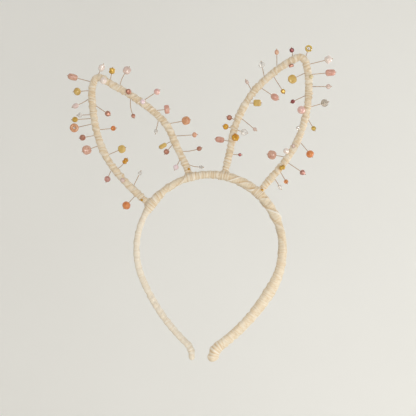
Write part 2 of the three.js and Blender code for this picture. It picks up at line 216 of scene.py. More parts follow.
class Workshop:
    """Turns grids into named Blender objects with a map along the piece and marks at its points."""

    @staticmethod
    def _faces(rows: int, cols: int, looped: bool) -> tuple[Array, Array]:
        """The four corners of each cell, with the row and column of each before any wrapping round.

        Args:
            rows: points along the piece.
            cols: points round it.
            looped: whether the last row joins the first.

        Returns:
            Rows and columns of each cell's corners, in an order that faces out where the rows run along
            the piece and the columns run round it anticlockwise as seen from its end.
        """
        r, c = np.meshgrid(np.arange(rows if looped else rows - 1), np.arange(cols), indexing="ij")
        row = np.stack([r, r, r + 1, r + 1], axis=-1).reshape(-1, 4)
        col = np.stack([c, c + 1, c + 1, c], axis=-1).reshape(-1, 4)
        return row, col

    @classmethod
    def build(
        cls, name: str, skins: Sequence[Skin], material: bpy.types.Material, flat: bool = False
    ) -> bpy.types.Object:
        """One object from one or more closed grids.

        Args:
            name: the piece's name.
            skins: its grids, in millimetres.
            material: what it is made of.
            flat: whether each cell keeps its own flat facet.

        Returns:
            The object, at the origin, with a UV map named strip: distance along the piece and round it,
            in centimetres.
        """
        points, corners, totals, maps = [], [], [], []
        marks: dict[str, list[Array]] = {key: [] for key in skins[0].marks}
        base = 0
        for skin in skins:
            rows, cols, _ = skin.points.shape
            row, col = cls._faces(rows, cols, skin.looped)
            along = skin.length / 10.0 / max(rows - 1, 1)
            round_ = skin.girth / 10.0 / cols
            points.append(skin.points.reshape(-1, 3))
            corners.append(base + (row % rows) * cols + col % cols)
            totals.append(np.full(len(row), 4))
            maps.append(np.stack([row * along, col * round_], axis=-1).reshape(-1, 2))
            for key, values in skin.marks.items():
                marks[key].append(values.reshape(-1))
            count = rows * cols
            if not skin.looped:
                for end, order in ((0, -1), (rows - 1, 1)):
                    ring = base + end * cols + np.arange(cols)[::order]
                    fan = np.stack([ring, np.roll(ring, -1), np.full(cols, base + count)], axis=-1)
                    points.append(skin.points[end].mean(axis=0, keepdims=True))
                    corners.append(fan)
                    totals.append(np.full(cols, 3))
                    maps.append(np.zeros((cols * 3, 2)))
                    for key, values in skin.marks.items():
                        marks[key].append(values[end].mean(keepdims=True))
                    count += 1
            base += count
        mesh = bpy.data.meshes.new(name)
        cls._fill(mesh, np.vstack(points) * METRES, corners, np.concatenate(totals), flat)
        mesh.uv_layers.new(name="strip").data.foreach_set("uv", np.vstack(maps).astype(np.float32).ravel())
        for key, parts in marks.items():
            layer = mesh.attributes.new(key, "FLOAT", "POINT")
            layer.data.foreach_set("value", np.concatenate(parts).astype(np.float32))
        mesh.update(calc_edges=True)
        mesh.materials.append(material)
        return put(name, mesh)

    @staticmethod
    def _fill(mesh: bpy.types.Mesh, points: Array, corners: list[Array], totals: Array, flat: bool) -> None:
        """Puts points and faces into a mesh.

        Args:
            mesh: an empty mesh.
            points: its points, in metres.
            corners: point numbers, one row for each face.
            totals: how many corners each face has.
            flat: whether the faces stay flat.
        """
        loops = np.concatenate([part.ravel() for part in corners])
        mesh.vertices.add(len(points))
        mesh.vertices.foreach_set("co", points.astype(np.float32).ravel())
        mesh.loops.add(len(loops))
        mesh.loops.foreach_set("vertex_index", loops.astype(np.int32))
        mesh.polygons.add(len(totals))
        starts = np.concatenate([[0], np.cumsum(totals)[:-1]])
        mesh.polygons.foreach_set("loop_start", starts.astype(np.int32))
        mesh.polygons.foreach_set("use_smooth", np.full(len(totals), not flat))


def tube(path: Array, radius: float, sides: int) -> Skin:
    """A round tube along a line.

    Args:
        path: the middle of the tube, one row for each ring.
        radius: its radius.
        sides: points round each ring.

    Returns:
        Rings of points, each square to the line: the cosine of an angle times the leaning direction
        turned square to the line, and its sine times the direction square to both.
    """
    heading = unit(np.gradient(path, axis=0))
    lean = leaning(heading)
    first = unit(lean - (lean * heading).sum(axis=1, keepdims=True) * heading)
    angle = (TURN * (np.arange(sides) / sides))[None, :]
    rings = carried((path, first, np.cross(heading, first)), radius * np.cos(angle), radius * np.sin(angle))
    return Skin(rings, length=line_length(path), girth=TURN * radius)


# ---------------------------------------------------------------- shader sums


class Signal:
    """One output of a shader node, with sums written as ordinary expressions."""

    def __init__(self, finish: "NodeTree", socket: bpy.types.NodeSocket) -> None:
        """Keeps the tree and the socket."""
        self.finish = finish
        self.socket = socket

    def _sum(self, operation: str, first: Any, second: Any = 0.0) -> "Signal":
        """A Math node with this operation on two values."""
        return self.finish.node("ShaderNodeMath", {"operation": operation}, {0: first, 1: second})

    def __add__(self, other: Any) -> "Signal":
        """This plus another."""
        return self._sum("ADD", self, other)

    __radd__ = __add__

    def __mul__(self, other: Any) -> "Signal":
        """This times another."""
        return self._sum("MULTIPLY", self, other)

    __rmul__ = __mul__

    def __sub__(self, other: Any) -> "Signal":
        """This less another."""
        return self._sum("SUBTRACT", self, other)

    def __rsub__(self, other: Any) -> "Signal":
        """Another less this."""
        return self._sum("SUBTRACT", other, self)

    def wave(self) -> "Signal":
        """The sine of this."""
        return self._sum("SINE", self)

    def held(self) -> "Signal":
        """This held between 0 and 1."""
        return self.finish.node("ShaderNodeClamp", {}, {"Value": self})


Input = Union[float, Colour, Signal]


class NodeTree:
    """A material and the one method that adds nodes to it."""

    def __init__(self, name: str) -> None:
        """Starts an empty material with its output node."""
        self.material = bpy.data.materials.new(name)
        self.material.use_nodes = True
        self.nodes = self.material.node_tree.nodes
        self.nodes.clear()
        self.output = self.nodes.new("ShaderNodeOutputMaterial")

    def node(
        self,
        kind: str,
        settings: Mapping[str, Any],
        inputs: Mapping[Union[int, str], Any],
        output: Union[int, str] = 0,
    ) -> Signal:
        """Adds a node.

        Args:
            kind: the node's type.
            settings: its properties, set first. "stops" sets a ramp's places and colours.
            inputs: a value or a signal for each socket named or numbered.
            output: the output that is wanted.

        Returns:
            That output.
        """
        made = self.nodes.new(kind)
        for key, value in settings.items():
            if key == "stops":
                self._stops(made.color_ramp, value)
            else:
                setattr(made, key, value)
        for key, value in inputs.items():
            socket = made.inputs[key]
            if isinstance(value, Signal):
                self.material.node_tree.links.new(value.socket, socket)
            elif isinstance(value, tuple) and socket.type == "RGBA":
                socket.default_value = (*value, 1.0)
            else:
                socket.default_value = value
        return Signal(self, made.outputs[output])

    @staticmethod
    def _stops(ramp: bpy.types.ColorRamp, stops: Sequence[tuple[float, Colour]]) -> None:
        """Sets a ramp's stops, in order."""
        while len(ramp.elements) < len(stops):
            ramp.elements.new(1.0)
        for element, (place, colour) in zip(ramp.elements, stops):
            element.position = place
            element.color = (*colour, 1.0)

    def place(self) -> Signal:
        """Object coordinates."""
        return self.node("ShaderNodeTexCoord", {}, {}, "Object")

    def strip(self, axis: str) -> Signal:
        """One side of the piece's own map: X is centimetres along it and Y is centimetres round it."""
        own = self.node("ShaderNodeUVMap", {"uv_map": "strip"}, {})
        return self.node("ShaderNodeSeparateXYZ", {}, {"Vector": own}, axis)

    def mark(self, name: str) -> Signal:
        """A number kept at the mesh's points."""
        return self.node("ShaderNodeAttribute", {"attribute_name": name}, {}, "Fac")

    def noise(self, scale: float, detail: float = 3.0, roughness: float = 0.55) -> Signal:
        """Soft noise between 0 and 1, fixed to the object."""
        sizes = {"Vector": self.place(), "Scale": scale, "Detail": detail, "Roughness": roughness}
        return self.node("ShaderNodeTexNoise", {}, sizes, "Fac")

    def blend(self, share: Input, first: Any, second: Any, how: str = "MIX") -> Signal:
        """Two colours mixed."""
        settings = {"data_type": "RGBA", "blend_type": how}
        return self.node("ShaderNodeMix", settings, {0: share, 6: first, 7: second}, 2)

    def bump(self, height: Signal, distance: float, strength: float = 1.0) -> Signal:
        """A normal raised by a height, over a distance in metres."""
        sizes = {"Height": height, "Distance": distance, "Strength": strength}
        return self.node("ShaderNodeBump", {}, sizes)

    def surface(self, inputs: Mapping[str, Any]) -> bpy.types.Material:
        """Ends the tree in one Principled shader.

        Args:
            inputs: a value or a signal for each of its sockets.

        Returns:
            The finished material.
        """
        shader = self.node("ShaderNodeBsdfPrincipled", {}, inputs)
        self.material.node_tree.links.new(shader.socket, self.output.inputs["Surface"])
        return self.material


def tint(red: int, green: int, blue: int) -> Colour:
    """A colour given on the usual 0 to 255 scale, as light.

    Args:
        red: its red.
        green: its green.
        blue: its blue.

    Returns:
        Each part through the standard curve from a screen's value to light.
    """

    def light(part: int) -> float:
        """One part as light."""
        share = part / 255.0
        return share / 12.92 if share <= 0.04045 else ((share + 0.055) / 1.055) ** 2.4

    return light(red), light(green), light(blue)


DUST = tint(205, 200, 190)


# ---------------------------------------------------------------- finishes


@dataclass(frozen=True)
class StripCloth:
    """The wound strip: soft woven cloth, with a painted highlight on its raised turns and painted tan shade
    down in its folds.
    """

    name: str = "cream strip cloth"
    lit: Colour = tint(244, 238, 226)
    body: Colour = tint(234, 222, 200)
    # Painted shade colour, laid down in the folds.
    fold: Colour = tint(208, 174, 126)
    threads_per_cm: float = 22.0
    thread_shade: float = 0.16
    nap_scale: float = 900.0
    cloud_scale: float = 130.0
    cloud_depth: float = 0.7
    raised: float = 0.00012

    def make(self) -> bpy.types.Material:
        """Builds the cloth.

        Returns:
            A material whose colour follows the painted shade in the folds and the painted highlight at the
            free edges, with a fine crossed weave and a nap that raise its surface.
        """
        tree = NodeTree(self.name)
        along, across = tree.strip("X"), tree.strip("Y")
        pace = TURN * self.threads_per_cm
        weave = ((along + across) * pace).wave() * ((along - across) * pace).wave() * 0.5 + 0.5
        nap = tree.noise(self.nap_scale, 4.0, 0.6)
        cloudy = tree.noise(self.cloud_scale, 3.0)
        # Painted shade: darker toward tan in the folds, with random cloudy tone added.
        depth = (tree.mark("fold") + (cloudy - 0.42) * self.cloud_depth).held()
        ground = tree.blend(depth, self.body, self.fold)
        # Painted highlight: lighter toward the lit colour near each turn's free edge.
        ground = tree.blend(tree.mark("rim").held(), ground, self.lit)
        threads = tree.node("ShaderNodeCombineColor", {}, {0: weave, 1: weave, 2: weave})
        ground = tree.blend(self.thread_shade, ground, threads, "SOFT_LIGHT")
        height = weave * 0.35 + nap * 0.8
        return tree.surface({
            "Base Color": ground,
            "Roughness": 0.82 + (nap - 0.5) * 0.2,
            "Sheen Weight": 0.35,
            "Sheen Roughness": 0.45,
            "Sheen Tint": self.lit,
            "Specular IOR Level": 0.25,
            "Normal": tree.bump(height, self.raised, 0.6),
        })


@dataclass(frozen=True)
class Moulded:
    """The band's core: plain moulded plastic with a faint flow grain."""

    name: str = "band core plastic"
    colour: Colour = tint(233, 230, 223)

    def make(self) -> bpy.types.Material:
        """Builds the plastic, with a little noise in its colour and its gloss."""
        tree = NodeTree(self.name)
        grain = tree.noise(400.0, 4.0)
        shade = tree.blend(grain * 0.35, self.colour, DUST)
        height = tree.bump(grain, 0.00004)
        return tree.surface({"Base Color": shade, "Roughness": 0.4 + grain * 0.2, "Normal": height})


@dataclass(frozen=True)
class Wire:
    """Bare or coated wire, with drawn streaks and dull spots."""

    name: str
    bright: Colour
    dull: Colour
    roughness: float = 0.3
    metal: float = 1.0

    def make(self) -> bpy.types.Material:
        """Builds the wire's metal."""
        tree = NodeTree(self.name)
        spots = tree.noise(700.0, 4.0)
        fine = tree.noise(3500.0, 2.0)
        shade = tree.blend((spots * 1.6 - 0.4).held(), self.bright, self.dull)
        return tree.surface({
            "Base Color": shade,
            "Metallic": self.metal,
            "Roughness": (self.roughness + (spots - 0.5) * 0.3).held(),
            "Normal": tree.bump(fine, 0.00002),
        })


class Body(Enum):
    """What a bead is made of."""

    STONE = "stone"
    GLASS = "glass"
    PEARL = "pearl"
    LUSTRE = "lustre"


@dataclass(frozen=True)
class BeadFinish:
    """One bead colour: its main tone, the tone of its clouds or spots, and what it is made of."""

    main: tuple[int, int, int]
    second: tuple[int, int, int]
    body: Body
    slot: str
    spots: float = 0.45
    grain: float = 420.0
    clearness: float = 0.55

    def make(self, name: str) -> bpy.types.Material:
        """Builds the bead's surface.

        Args:
            name: the material's name.

        Returns:
            Clouded stone, tinted glass, layered pearl or dusty metallic lustre.
        """
        tree = NodeTree(name)
        clouds = tree.noise(self.grain, 4.0, 0.6)
        specks = tree.node(
            "ShaderNodeTexVoronoi",
            {"feature": "F1"},
            {"Vector": tree.place(), "Scale": self.grain * 1.6, "Randomness": 1.0},
            "Distance",
        )
        share = ((clouds - 0.5 + (self.spots - 0.5) * 0.5) * 3.2 + 0.5).held()
        second = tint(*self.second)
        ground = tree.blend(share, tint(*self.main), second)
        wear = tree.bump(clouds * 0.6 + specks * 0.4, 0.00005, 0.5)
        look: dict[str, Any] = {"Base Color": ground, "Normal": wear}
        if self.body is Body.STONE:
            look["Base Color"] = tree.blend((1.0 - specks * 3.0).held() * 0.35, ground, second)
            look |= {"Roughness": 0.16 + clouds * 0.25, "Coat Weight": 0.8, "Coat Roughness": 0.07}
            look |= {"Subsurface Weight": 0.12, "Subsurface Radius": (1.0, 0.5, 0.35)}
            look |= {"Subsurface Scale": METRES}
        elif self.body is Body.GLASS:
            look |= {"Roughness": 0.04 + clouds * 0.1, "IOR": 1.5, "Coat Weight": 0.2}
            look |= {"Transmission Weight": self.clearness}
        elif self.body is Body.PEARL:
            look |= {"Metallic": 0.12, "Roughness": 0.18 + clouds * 0.16, "Sheen Weight": 0.25}
            look |= {"Coat Weight": 0.8, "Coat Roughness": 0.06}
            look |= {"Subsurface Weight": 0.15, "Subsurface Radius": (1.0, 0.7, 0.6)}
            look |= {"Subsurface Scale": METRES}
        else:
            look |= {"Metallic": (0.35 + share * 0.5).held(), "Roughness": 0.2 + clouds * 0.25}
            look |= {"Coat Weight": 0.4, "Coat Roughness": 0.1}
        return tree.surface(look)


# Main tone, second tone, body, slot, how far the second tone spreads, grain and clearness.
FINISHES: dict[str, BeadFinish] = {
    "coral": BeadFinish((224, 176, 158), (196, 134, 118), Body.STONE, "bead_coral"),
    "salmon": BeadFinish((226, 186, 164), (188, 134, 114), Body.STONE, "bead_salmon", 0.5, 520.0),
    "blush": BeadFinish((242, 220, 210), (226, 196, 184), Body.GLASS, "bead_blush", 0.35, clearness=0.3),
    "pearl": BeadFinish((244, 234, 226), (228, 206, 196), Body.PEARL, "bead_pearl", 0.35),
    "pink": BeadFinish((238, 200, 190), (222, 170, 162), Body.PEARL, "bead_pink"),
    "pink_glass": BeadFinish((230, 182, 170), (206, 140, 130), Body.GLASS, "bead_pink"),
    "rose": BeadFinish((214, 164, 150), (184, 122, 112), Body.LUSTRE, "bead_rose"),
    "garnet": BeadFinish((176, 114, 94), (210, 162, 142), Body.LUSTRE, "bead_garnet"),
    "crimson": BeadFinish((168, 96, 92), (124, 56, 62), Body.LUSTRE, "bead_garnet"),
    "mauve": BeadFinish((228, 208, 202), (204, 176, 170), Body.STONE, "bead_mauve"),
    "lilac": BeadFinish((246, 228, 233), (234, 208, 219), Body.PEARL, "bead_mauve", 0.35),
    "orange": BeadFinish((228, 150, 84), (204, 110, 48), Body.STONE, "bead_orange"),
    "ember": BeadFinish((242, 172, 108), (226, 132, 70), Body.GLASS, "bead_orange"),
    "rust": BeadFinish((224, 174, 132), (192, 122, 80), Body.STONE, "bead_orange", 0.5, 620.0),
    "amber": BeadFinish((240, 186, 58), (206, 130, 22), Body.GLASS, "bead_amber", 0.4, clearness=0.35),
    "gold": BeadFinish((226, 188, 92), (186, 138, 46), Body.LUSTRE, "bead_gold"),
    "mustard": BeadFinish((220, 190, 112), (194, 154, 72), Body.STONE, "bead_mustard"),
    "yellow": BeadFinish((232, 206, 110), (208, 172, 66), Body.GLASS, "bead_yellow"),
    "straw": BeadFinish((244, 230, 190), (232, 210, 156), Body.GLASS, "bead_yellow", clearness=0.15),
    "olive": BeadFinish((218, 188, 104), (176, 142, 58), Body.LUSTRE, "bead_olive"),
    "peach": BeadFinish((234, 190, 162), (214, 150, 118), Body.PEARL, "bead_peach"),
    "smoke": BeadFinish((220, 210, 196), (190, 178, 164), Body.GLASS, "bead_smoke"),
    "clear": BeadFinish((250, 248, 245), (238, 232, 224), Body.GLASS, "bead_clear", 0.3, clearness=0.5),
}


class Palette:
    """Makes each material once and hands it out by name."""

    def __init__(self) -> None:
        """Makes the cloth, the plastic and the two wires."""
        self.cloth = StripCloth().make()
        self.core = Moulded().make()
        self.steel = Wire("drawn steel wire", tint(196, 192, 184), tint(128, 124, 118), 0.34).make()
        self.copper = Wire("coated copper wire", tint(212, 180, 144), tint(160, 124, 92), 0.42, 0.75).make()
        self.beads = {name: finish.make(f"bead {name}") for name, finish in FINISHES.items()}


# ---------------------------------------------------------------- the band's line


@dataclass(frozen=True)
class Arc:
    """One arc of the band's line: its radius, negative where it bends back, and its length."""

    radius: float
    length: float


@dataclass(frozen=True)
class BandLine:
    """The middle of the wound band, from tip to tip through the crown."""

    arcs: tuple[Arc, ...] = (Arc(57.5, 44.0), Arc(60.5, 76.0), Arc(151.0, 64.0), Arc(-13.0, 14.5))
    crown_height: float = 2.62
    roll_from: float = 68.0
    roll_to: float = 128.0
    roll_left: float = -6.0
    roll_right: float = 32.0

    def frames(self, at: Array) -> tuple[Array, Array, Array]:
        """Where the band's middle runs.

        Args:
            at: distances from the crown along the band, positive to the right.

        Returns:
            Places, directions across the band and directions out of it. The heading falls below level by
            each arc's run over its radius. The place moves by the radius times the change in the
            heading's sine and cosine. The limbs roll about their own length, eased in with distance.
        """
        left = np.abs(at)
        side = np.where(at < 0, -1.0, 1.0)
        x, z, heading = np.zeros_like(left), np.full_like(left, self.crown_height), np.zeros_like(left)
        for arc in self.arcs:
            run = np.clip(left, 0.0, arc.length)
            turned = heading + run / arc.radius
            x = x + arc.radius * (np.sin(turned) - np.sin(heading))
            z = z + arc.radius * (np.cos(turned) - np.cos(heading))
            heading, left = turned, left - run
        none = np.zeros_like(x)
        point = np.stack([side * x, none, z], axis=-1)
        outward = np.stack([side * np.sin(heading), none, np.cos(heading)], axis=-1)
        most = np.where(at < 0, self.roll_left, self.roll_right)
        roll = np.radians(smooth(self.roll_from, self.roll_to, np.abs(at)) * most)[..., None]
        across = ACROSS * np.cos(roll) + outward * np.sin(roll)
        return point, across, outward * np.cos(roll) - ACROSS * np.sin(roll)

    def point(self, at: float, height: float = 0.0) -> Array:
        """One place on the band, raised outward by a height."""
        point, _, outward = self.frames(np.array([at]))
        return point[0] + outward[0] * height


# ---------------------------------------------------------------- wound strip


@dataclass(frozen=True)
class Laps:
    """One run of lapped strip turns over a stretch of a piece.

    spacing is the distance along the piece from one turn to the next, strands how many turns are met once
    round, and so how steeply the strip lies. height is the step at a turn's free edge, edge the share of a
    turn taken up by its rounded edge, creases how many fine folds run along each turn, wander how far an
    edge strays, in turns, and tone how strongly painted shade is laid in the folds and a painted highlight
    on the free edges.
    """

    start: float
    end: float
    spacing: float
    strands: int
    height: float
    seed: int
    fade: float = 4.0
    edge: float = 0.12
    creases: float = 3.0
    wander: float = 0.12
    tone: float = 1.0

    def relief(self, along: Array, round_: Array) -> tuple[Array, Array, Array]:
        """The strip's shape over a grid.

        Args:
            along: distance along the piece.
            round_: share of the way round it.

        Returns:
            The height above the piece, painted shade where a place lies down in the folds and a painted
            highlight near a lit free edge.
            A turn climbs quickly over its rounded free edge, then slopes down until it dives under the
            next. Fine folds run along it, and it is uneven all over.
        """
        stray = ripple(along, round_, self.spacing * 2.3, 1, self.seed) * self.wander
        pace = along / self.spacing + self.strands * round_ + stray
        turn = pace - np.floor(pace)
        which = np.floor(pace)
        lift = 0.72 + 0.28 * np.cos(which * 2.4 + self.seed)
        rise = smooth(0.0, self.edge, turn)
        slope = (1.0 - turn) ** 0.8
        bead = hump(self.edge * 1.1, self.edge * 0.9, turn)
        swing = ripple(along, round_, self.spacing * 0.9, 2, self.seed + 1)
        pleats = np.cos(TURN * (turn * self.creases + swing * 0.35)) * smooth(-0.6, 0.9, swing)
        height = self.height * lift * (rise * slope + 0.28 * bead) + self.height * 0.13 * pleats
        # Painted shade where a turn dives under the next and in the troughs of the pleats.
        fold = hump(0.0, self.edge * 0.7, turn) + hump(1.0, self.edge * 1.5, turn)
        fold = fold * lift + 0.3 * smooth(0.2, 1.0, -pleats)
        # Painted highlight just inside each turn's free edge.
        rim = hump(self.edge * 1.5, self.edge * 0.8, turn) * lift
        shown = window(self.start, self.end, self.fade, along)
        return height * shown, fold * shown * self.tone * 0.8, rim * shown * self.tone * 1.3


@dataclass(frozen=True)
class Stretch:
    """A stretch of the band, from its start to its end, and what it adds there to a size or a share."""

    start: float
    end: float
    fade: float
    amount: float

    def over(self, at: Array) -> Array:
        """The amount over the stretch, eased to 0 past both its ends."""
        return self.amount * window(self.start, self.end, self.fade, at)


@dataclass(frozen=True)
class Winding:
    """A strip wound round a piece: its laps, how puffy and crumpled it is, and where painted light makes it
    paler.
    """

    laps: tuple[Laps, ...]
    puff: float
    puff_wave: float
    crumple: float
    seed: int = 5
    # Stretches made paler with painted light, for a face that the light falls on.
    pale: tuple[Stretch, ...] = ()

    def relief(self, along: Array, round_: Array) -> tuple[Array, dict[str, Array]]:
        """The height, and the painted shade and painted highlight that the cloth is coloured by, over a
        grid.
        """
        height = self.puff * ripple(along, round_, self.puff_wave, 2, self.seed)
        small = ripple(along, round_, 1.7, 6, self.seed + 3, 14)
        height = height + self.crumple * small
        # Painted shade in the dips of the small crumples; painted light lifts the paler stretches.
        fold = 0.10 - 0.14 * small
        rim = sum((stretch.over(along) for stretch in self.pale), np.zeros_like(height))
        for run in self.laps:
            # Each run of laps adds its height, its painted shade and its painted highlight.
            extra, lap_fold_shade, near = run.relief(along, round_)
            height, fold, rim = height + extra, fold + lap_fold_shade, rim + near
        return height, {"fold": np.clip(fold, 0.0, 1.0), "rim": np.clip(rim, 0.0, 1.0)}


def oval_ring(sides: int, corner: float, aspect: float) -> tuple[Array, Array, float]:
    """A rounded oblong of half width 1, spaced evenly round its own length.

    Args:
        sides: points round it.
        corner: 1 for an ellipse, less for a fuller oblong.
        aspect: its half thickness over its half width.

    Returns:
        Its points, the way each faces, and its girth. A point is the cosine and sine of an angle, each
        raised to the corner power with its sign kept, and the second scaled by the aspect.
    """
    angle = np.linspace(0.0, TURN, 2401)
    x, y = signed_power(np.cos(angle), corner), signed_power(np.sin(angle), corner) * aspect
    reach = np.concatenate([[0.0], np.cumsum(np.hypot(np.diff(x), np.diff(y)))])
    even = np.arange(sides) / sides * reach[-1]
    points = np.stack([np.interp(even, reach, x), np.interp(even, reach, y)], axis=-1)
    step = np.roll(points, -1, axis=0) - np.roll(points, 1, axis=0)
    return points, unit(np.stack([step[:, 1], -step[:, 0]], axis=-1)), float(reach[-1])


def wound_skin(
    frames: tuple[Array, Array, Array],
    along: Array,
    widths: Array,
    thicks: Array,
    winding: Winding,
    sides: int,
    corner: float = 1.0,
    sink: Optional[Array] = None,
) -> Skin:
    """A wound piece's surface.

    Args:
        frames: places, directions across and directions outward, one for each ring.
        along: distance along the piece at each ring.
        widths: half width at each ring.
        thicks: half thickness at each ring.
        winding: the strip wound round it.
        sides: points round each ring.
        corner: how full the section is, as for the oval ring.
        sink: how far each ring is drawn in, if at all.

    Returns:
        The section carried along the frames, with the strip's height added the way each point faces.
    """
    aspect = float(np.mean(thicks) / np.mean(widths))
    ring, facing, girth = oval_ring(sides, corner, aspect)
    share = np.arange(sides)[None, :] / sides
    height, marks = winding.relief(along[:, None], share)
    if sink is not None:
        height = height - sink[:, None]
    x = ring[None, :, 0] * widths[:, None] + facing[None, :, 0] * height
    y = ring[None, :, 1] / aspect * thicks[:, None] + facing[None, :, 1] * height
    length = float(along[-1] - along[0])
    return Skin(carried(frames, x, y), marks=marks, length=length, girth=girth * float(np.mean(widths)))


# ---------------------------------------------------------------- the hair band


@dataclass(frozen=True)
class Foot:
    """Where an ear stands on the band, and how long its binding is."""

    name: str
    at: float
    length: float


LEFT_FEET = (Foot("left_outer", -58.5, 8.0), Foot("left_inner", -20.0, 6.5))
RIGHT_FEET = (Foot("right_inner", 8.0, 6.5), Foot("right_outer", 38.5, 8.0))
FEET = (*LEFT_FEET, *RIGHT_FEET)


@dataclass
class HairBand:
    """The wound band: a plastic core in two halves and a cloth winding in two halves.
    """

    line: BandLine = field(default_factory=BandLine)
    half_length: float = 198.5
    half_width: float = 5.75
    half_thick: float = 2.5
    core_half_width: float = 4.5
    core_half_thick: float = 0.9
    core_start: float = 0.15
    core_end: float = 194.9
    core_corner: float = 0.35
    core_rings: int = 150
    core_sides: int = 24
    flex_at: float = 66.0
    flex_reach: float = 13.0
    swelling_at: float = 125.0
    swelling: float = 0.35
    lap_over: float = 3.2
    lap_sink: float = 0.75
    free_edge: float = 0.6
    free_edge_sink: float = 0.9
    tip_round: float = 3.0
    tip_fullness: float = 2.2
    tied_in: float = 0.8
    tied_short: float = 0.6
    tied_fade: float = 1.2
    corner: float = 0.72
    step: float = 0.24
    sides: int = 88
    thicker: tuple[Stretch, ...] = (
        Stretch(14.0, 60.0, 8.0, 0.75),
        Stretch(-60.0, -50.0, 6.0, 0.85),
        Stretch(-16.0, 3.0, 5.0, 0.45),
        Stretch(186.0, 200.0, 6.0, 0.5),
        Stretch(-200.0, -180.0, 8.0, -0.15),
        Stretch(66.0, 140.0, 12.0, 0.5),
        Stretch(-176.0, -72.0, 8.0, -0.15),
    )
    wider: tuple[Stretch, ...] = (
        Stretch(80.0, 180.0, 12.0, 0.5),
        Stretch(-176.0, -80.0, 8.0, -0.8),
        Stretch(-200.0, -182.0, 8.0, -0.5),
    )

    def thickness(self, at: Array) -> Array:
        """Half the band's thickness: fuller where the strip is doubled from the crown to the shoulder."""
        swell = self.swelling * hump(self.swelling_at, 7.0, at)
        return self.half_thick + swell + sum(stretch.over(at) for stretch in self.thicker)

    def width(self, at: Array) -> Array:
        """Half the band's width: fuller down the right limb and at its swelling, and less on the left."""
        swell = self.swelling * hump(self.swelling_at, 8.0, at)
        return self.half_width + swell + sum(stretch.over(at) for stretch in self.wider)

    def winding(self) -> Winding:
        """The strip on the band: steep long folds by the crown, close turns on the limbs and tips."""
        # Start, end, spacing, strands, height, seed, fade, edge, creases, wander and tone of each run.
        return Winding((
            Laps(-17.0, 4.0, 2.7, 1, 0.26, 21, 3.0, 0.24, 1.0, 0.22, 0.6),
            Laps(5.0, 31.0, 9.5, 5, 0.62, 22, 4.0, 0.1, 3.0, 0.12, 0.9),
            Laps(33.0, 63.0, 12.5, 3, 0.9, 23, 4.0, 0.09, 5.0, 0.12, 1.0),
            Laps(66.0, 96.0, 15.0, 3, 0.4, 24, 7.0, 0.12, 4.0, 0.12, 0.35),
            Laps(92.0, 183.0, 3.8, 1, 0.14, 25, 6.0, 0.26, 1.0, 0.34, 0.24),
            Laps(184.0, 194.0, 2.6, 1, 0.36, 26, 2.0, 0.24, 1.0, 0.1, 0.7),
            Laps(-44.0, -22.0, 11.0, 3, 0.55, 27, 4.0, 0.08, 3.0, 0.12, 0.5),
            Laps(-64.0, -46.0, 4.2, 2, 0.62, 28, 3.0, 0.14, 2.0, 0.2, 0.7),
            Laps(-184.0, -68.0, 4.2, 1, 0.12, 29, 5.0, 0.26, 1.0, 0.34, 0.22),
            Laps(-194.0, -186.0, 3.2, 1, 0.2, 30, 2.0, 0.24, 1.0, 0.2, 0.35),
        # The left limb is made paler with painted light, as on a face that the light falls on.
        ), puff=0.2, puff_wave=7.0, crumple=0.055, pale=(Stretch(-210.0, -72.0, 16.0, 0.45),))

    def _half(self, side: float) -> Skin:
        """One half of the winding, rounded over at the tip and lapped at the crown.

        Args:
            side: 1 for the right half and -1 for the left.

        Returns:
            Its grid. The left half runs on under the right one by the lap, and the right half starts in
            a rounded free edge. The cloth is drawn in under each foot's binding.
        """
        low, high = (-self.half_length, self.lap_over) if side < 0 else (-self.free_edge, self.half_length)
        along = np.linspace(low, high, int((high - low) / self.step))
        tip = np.clip((np.abs(along) - (self.half_length - self.tip_round)) / self.tip_round, 0.0, 1.0)
        round_over = np.sqrt(np.clip(1.0 - (tip * 0.995) ** self.tip_fullness, 0.0, 1.0))
        if side < 0:
            sink = self.lap_sink * smooth(0.0, 1.4, along)
        else:
            sink = self.free_edge_sink * (1.0 - smooth(-self.free_edge, 0.5, along))
        widths, thicks = self.width(along) * round_over, self.thickness(along) * round_over
        sink = sink * (round_over > 0.99)
        for foot in FEET:
            under = foot.length / 2 - self.tied_short
            sink = sink + self.tied_in * window(foot.at - under, foot.at + under, self.tied_fade, along)
        frames = self.line.frames(along)
        return wound_skin(frames, along, widths, thicks, self.winding(), self.sides, self.corner, sink)

    def _core(self, side: float) -> Skin:
        """One half of the core: a rounded bar from the crown's middle to short of the tip."""
        along = np.sort(np.linspace(self.core_start, self.core_end, self.core_rings) * side)
        aspect = self.core_half_thick / self.core_half_width
        ring, _, girth = oval_ring(self.core_sides, self.core_corner, aspect)
        flat = np.broadcast_to(ring * self.core_half_width, (len(along), *ring.shape))
        skin = carried(self.line.frames(along), flat[..., 0], flat[..., 1])
        return Skin(skin, length=self.core_end, girth=girth * self.core_half_width)

    def build(self, palette: Palette) -> None:
        """Makes both halves of the winding and the core and hides the working pieces that they replace. The
        ends of each limb's joint are worked out but not used.
        """
        for name, side in (("left", -1.0), ("right", 1.0)):
            start = self.line.point(side * (self.flex_at - self.flex_reach)) * METRES
            end = self.line.point(side * (self.flex_at + self.flex_reach)) * METRES
            wrap = Workshop.build(f"band_winding_{name}", [self._half(side)], palette.cloth)
            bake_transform(wrap)
            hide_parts("band_wrap_crown", f"band_wrap_{name}")
            core = Workshop.build(f"band_core_half_{name}", [self._core(side)], palette.core)
            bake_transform(core)
            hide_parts("band_core_crown", f"band_core_{name}")
            counts = len(wrap.data.vertices), len(core.data.vertices)
            LOG.info("band, %s half: %d and %d points", name, *counts)


# ---------------------------------------------------------------- feet


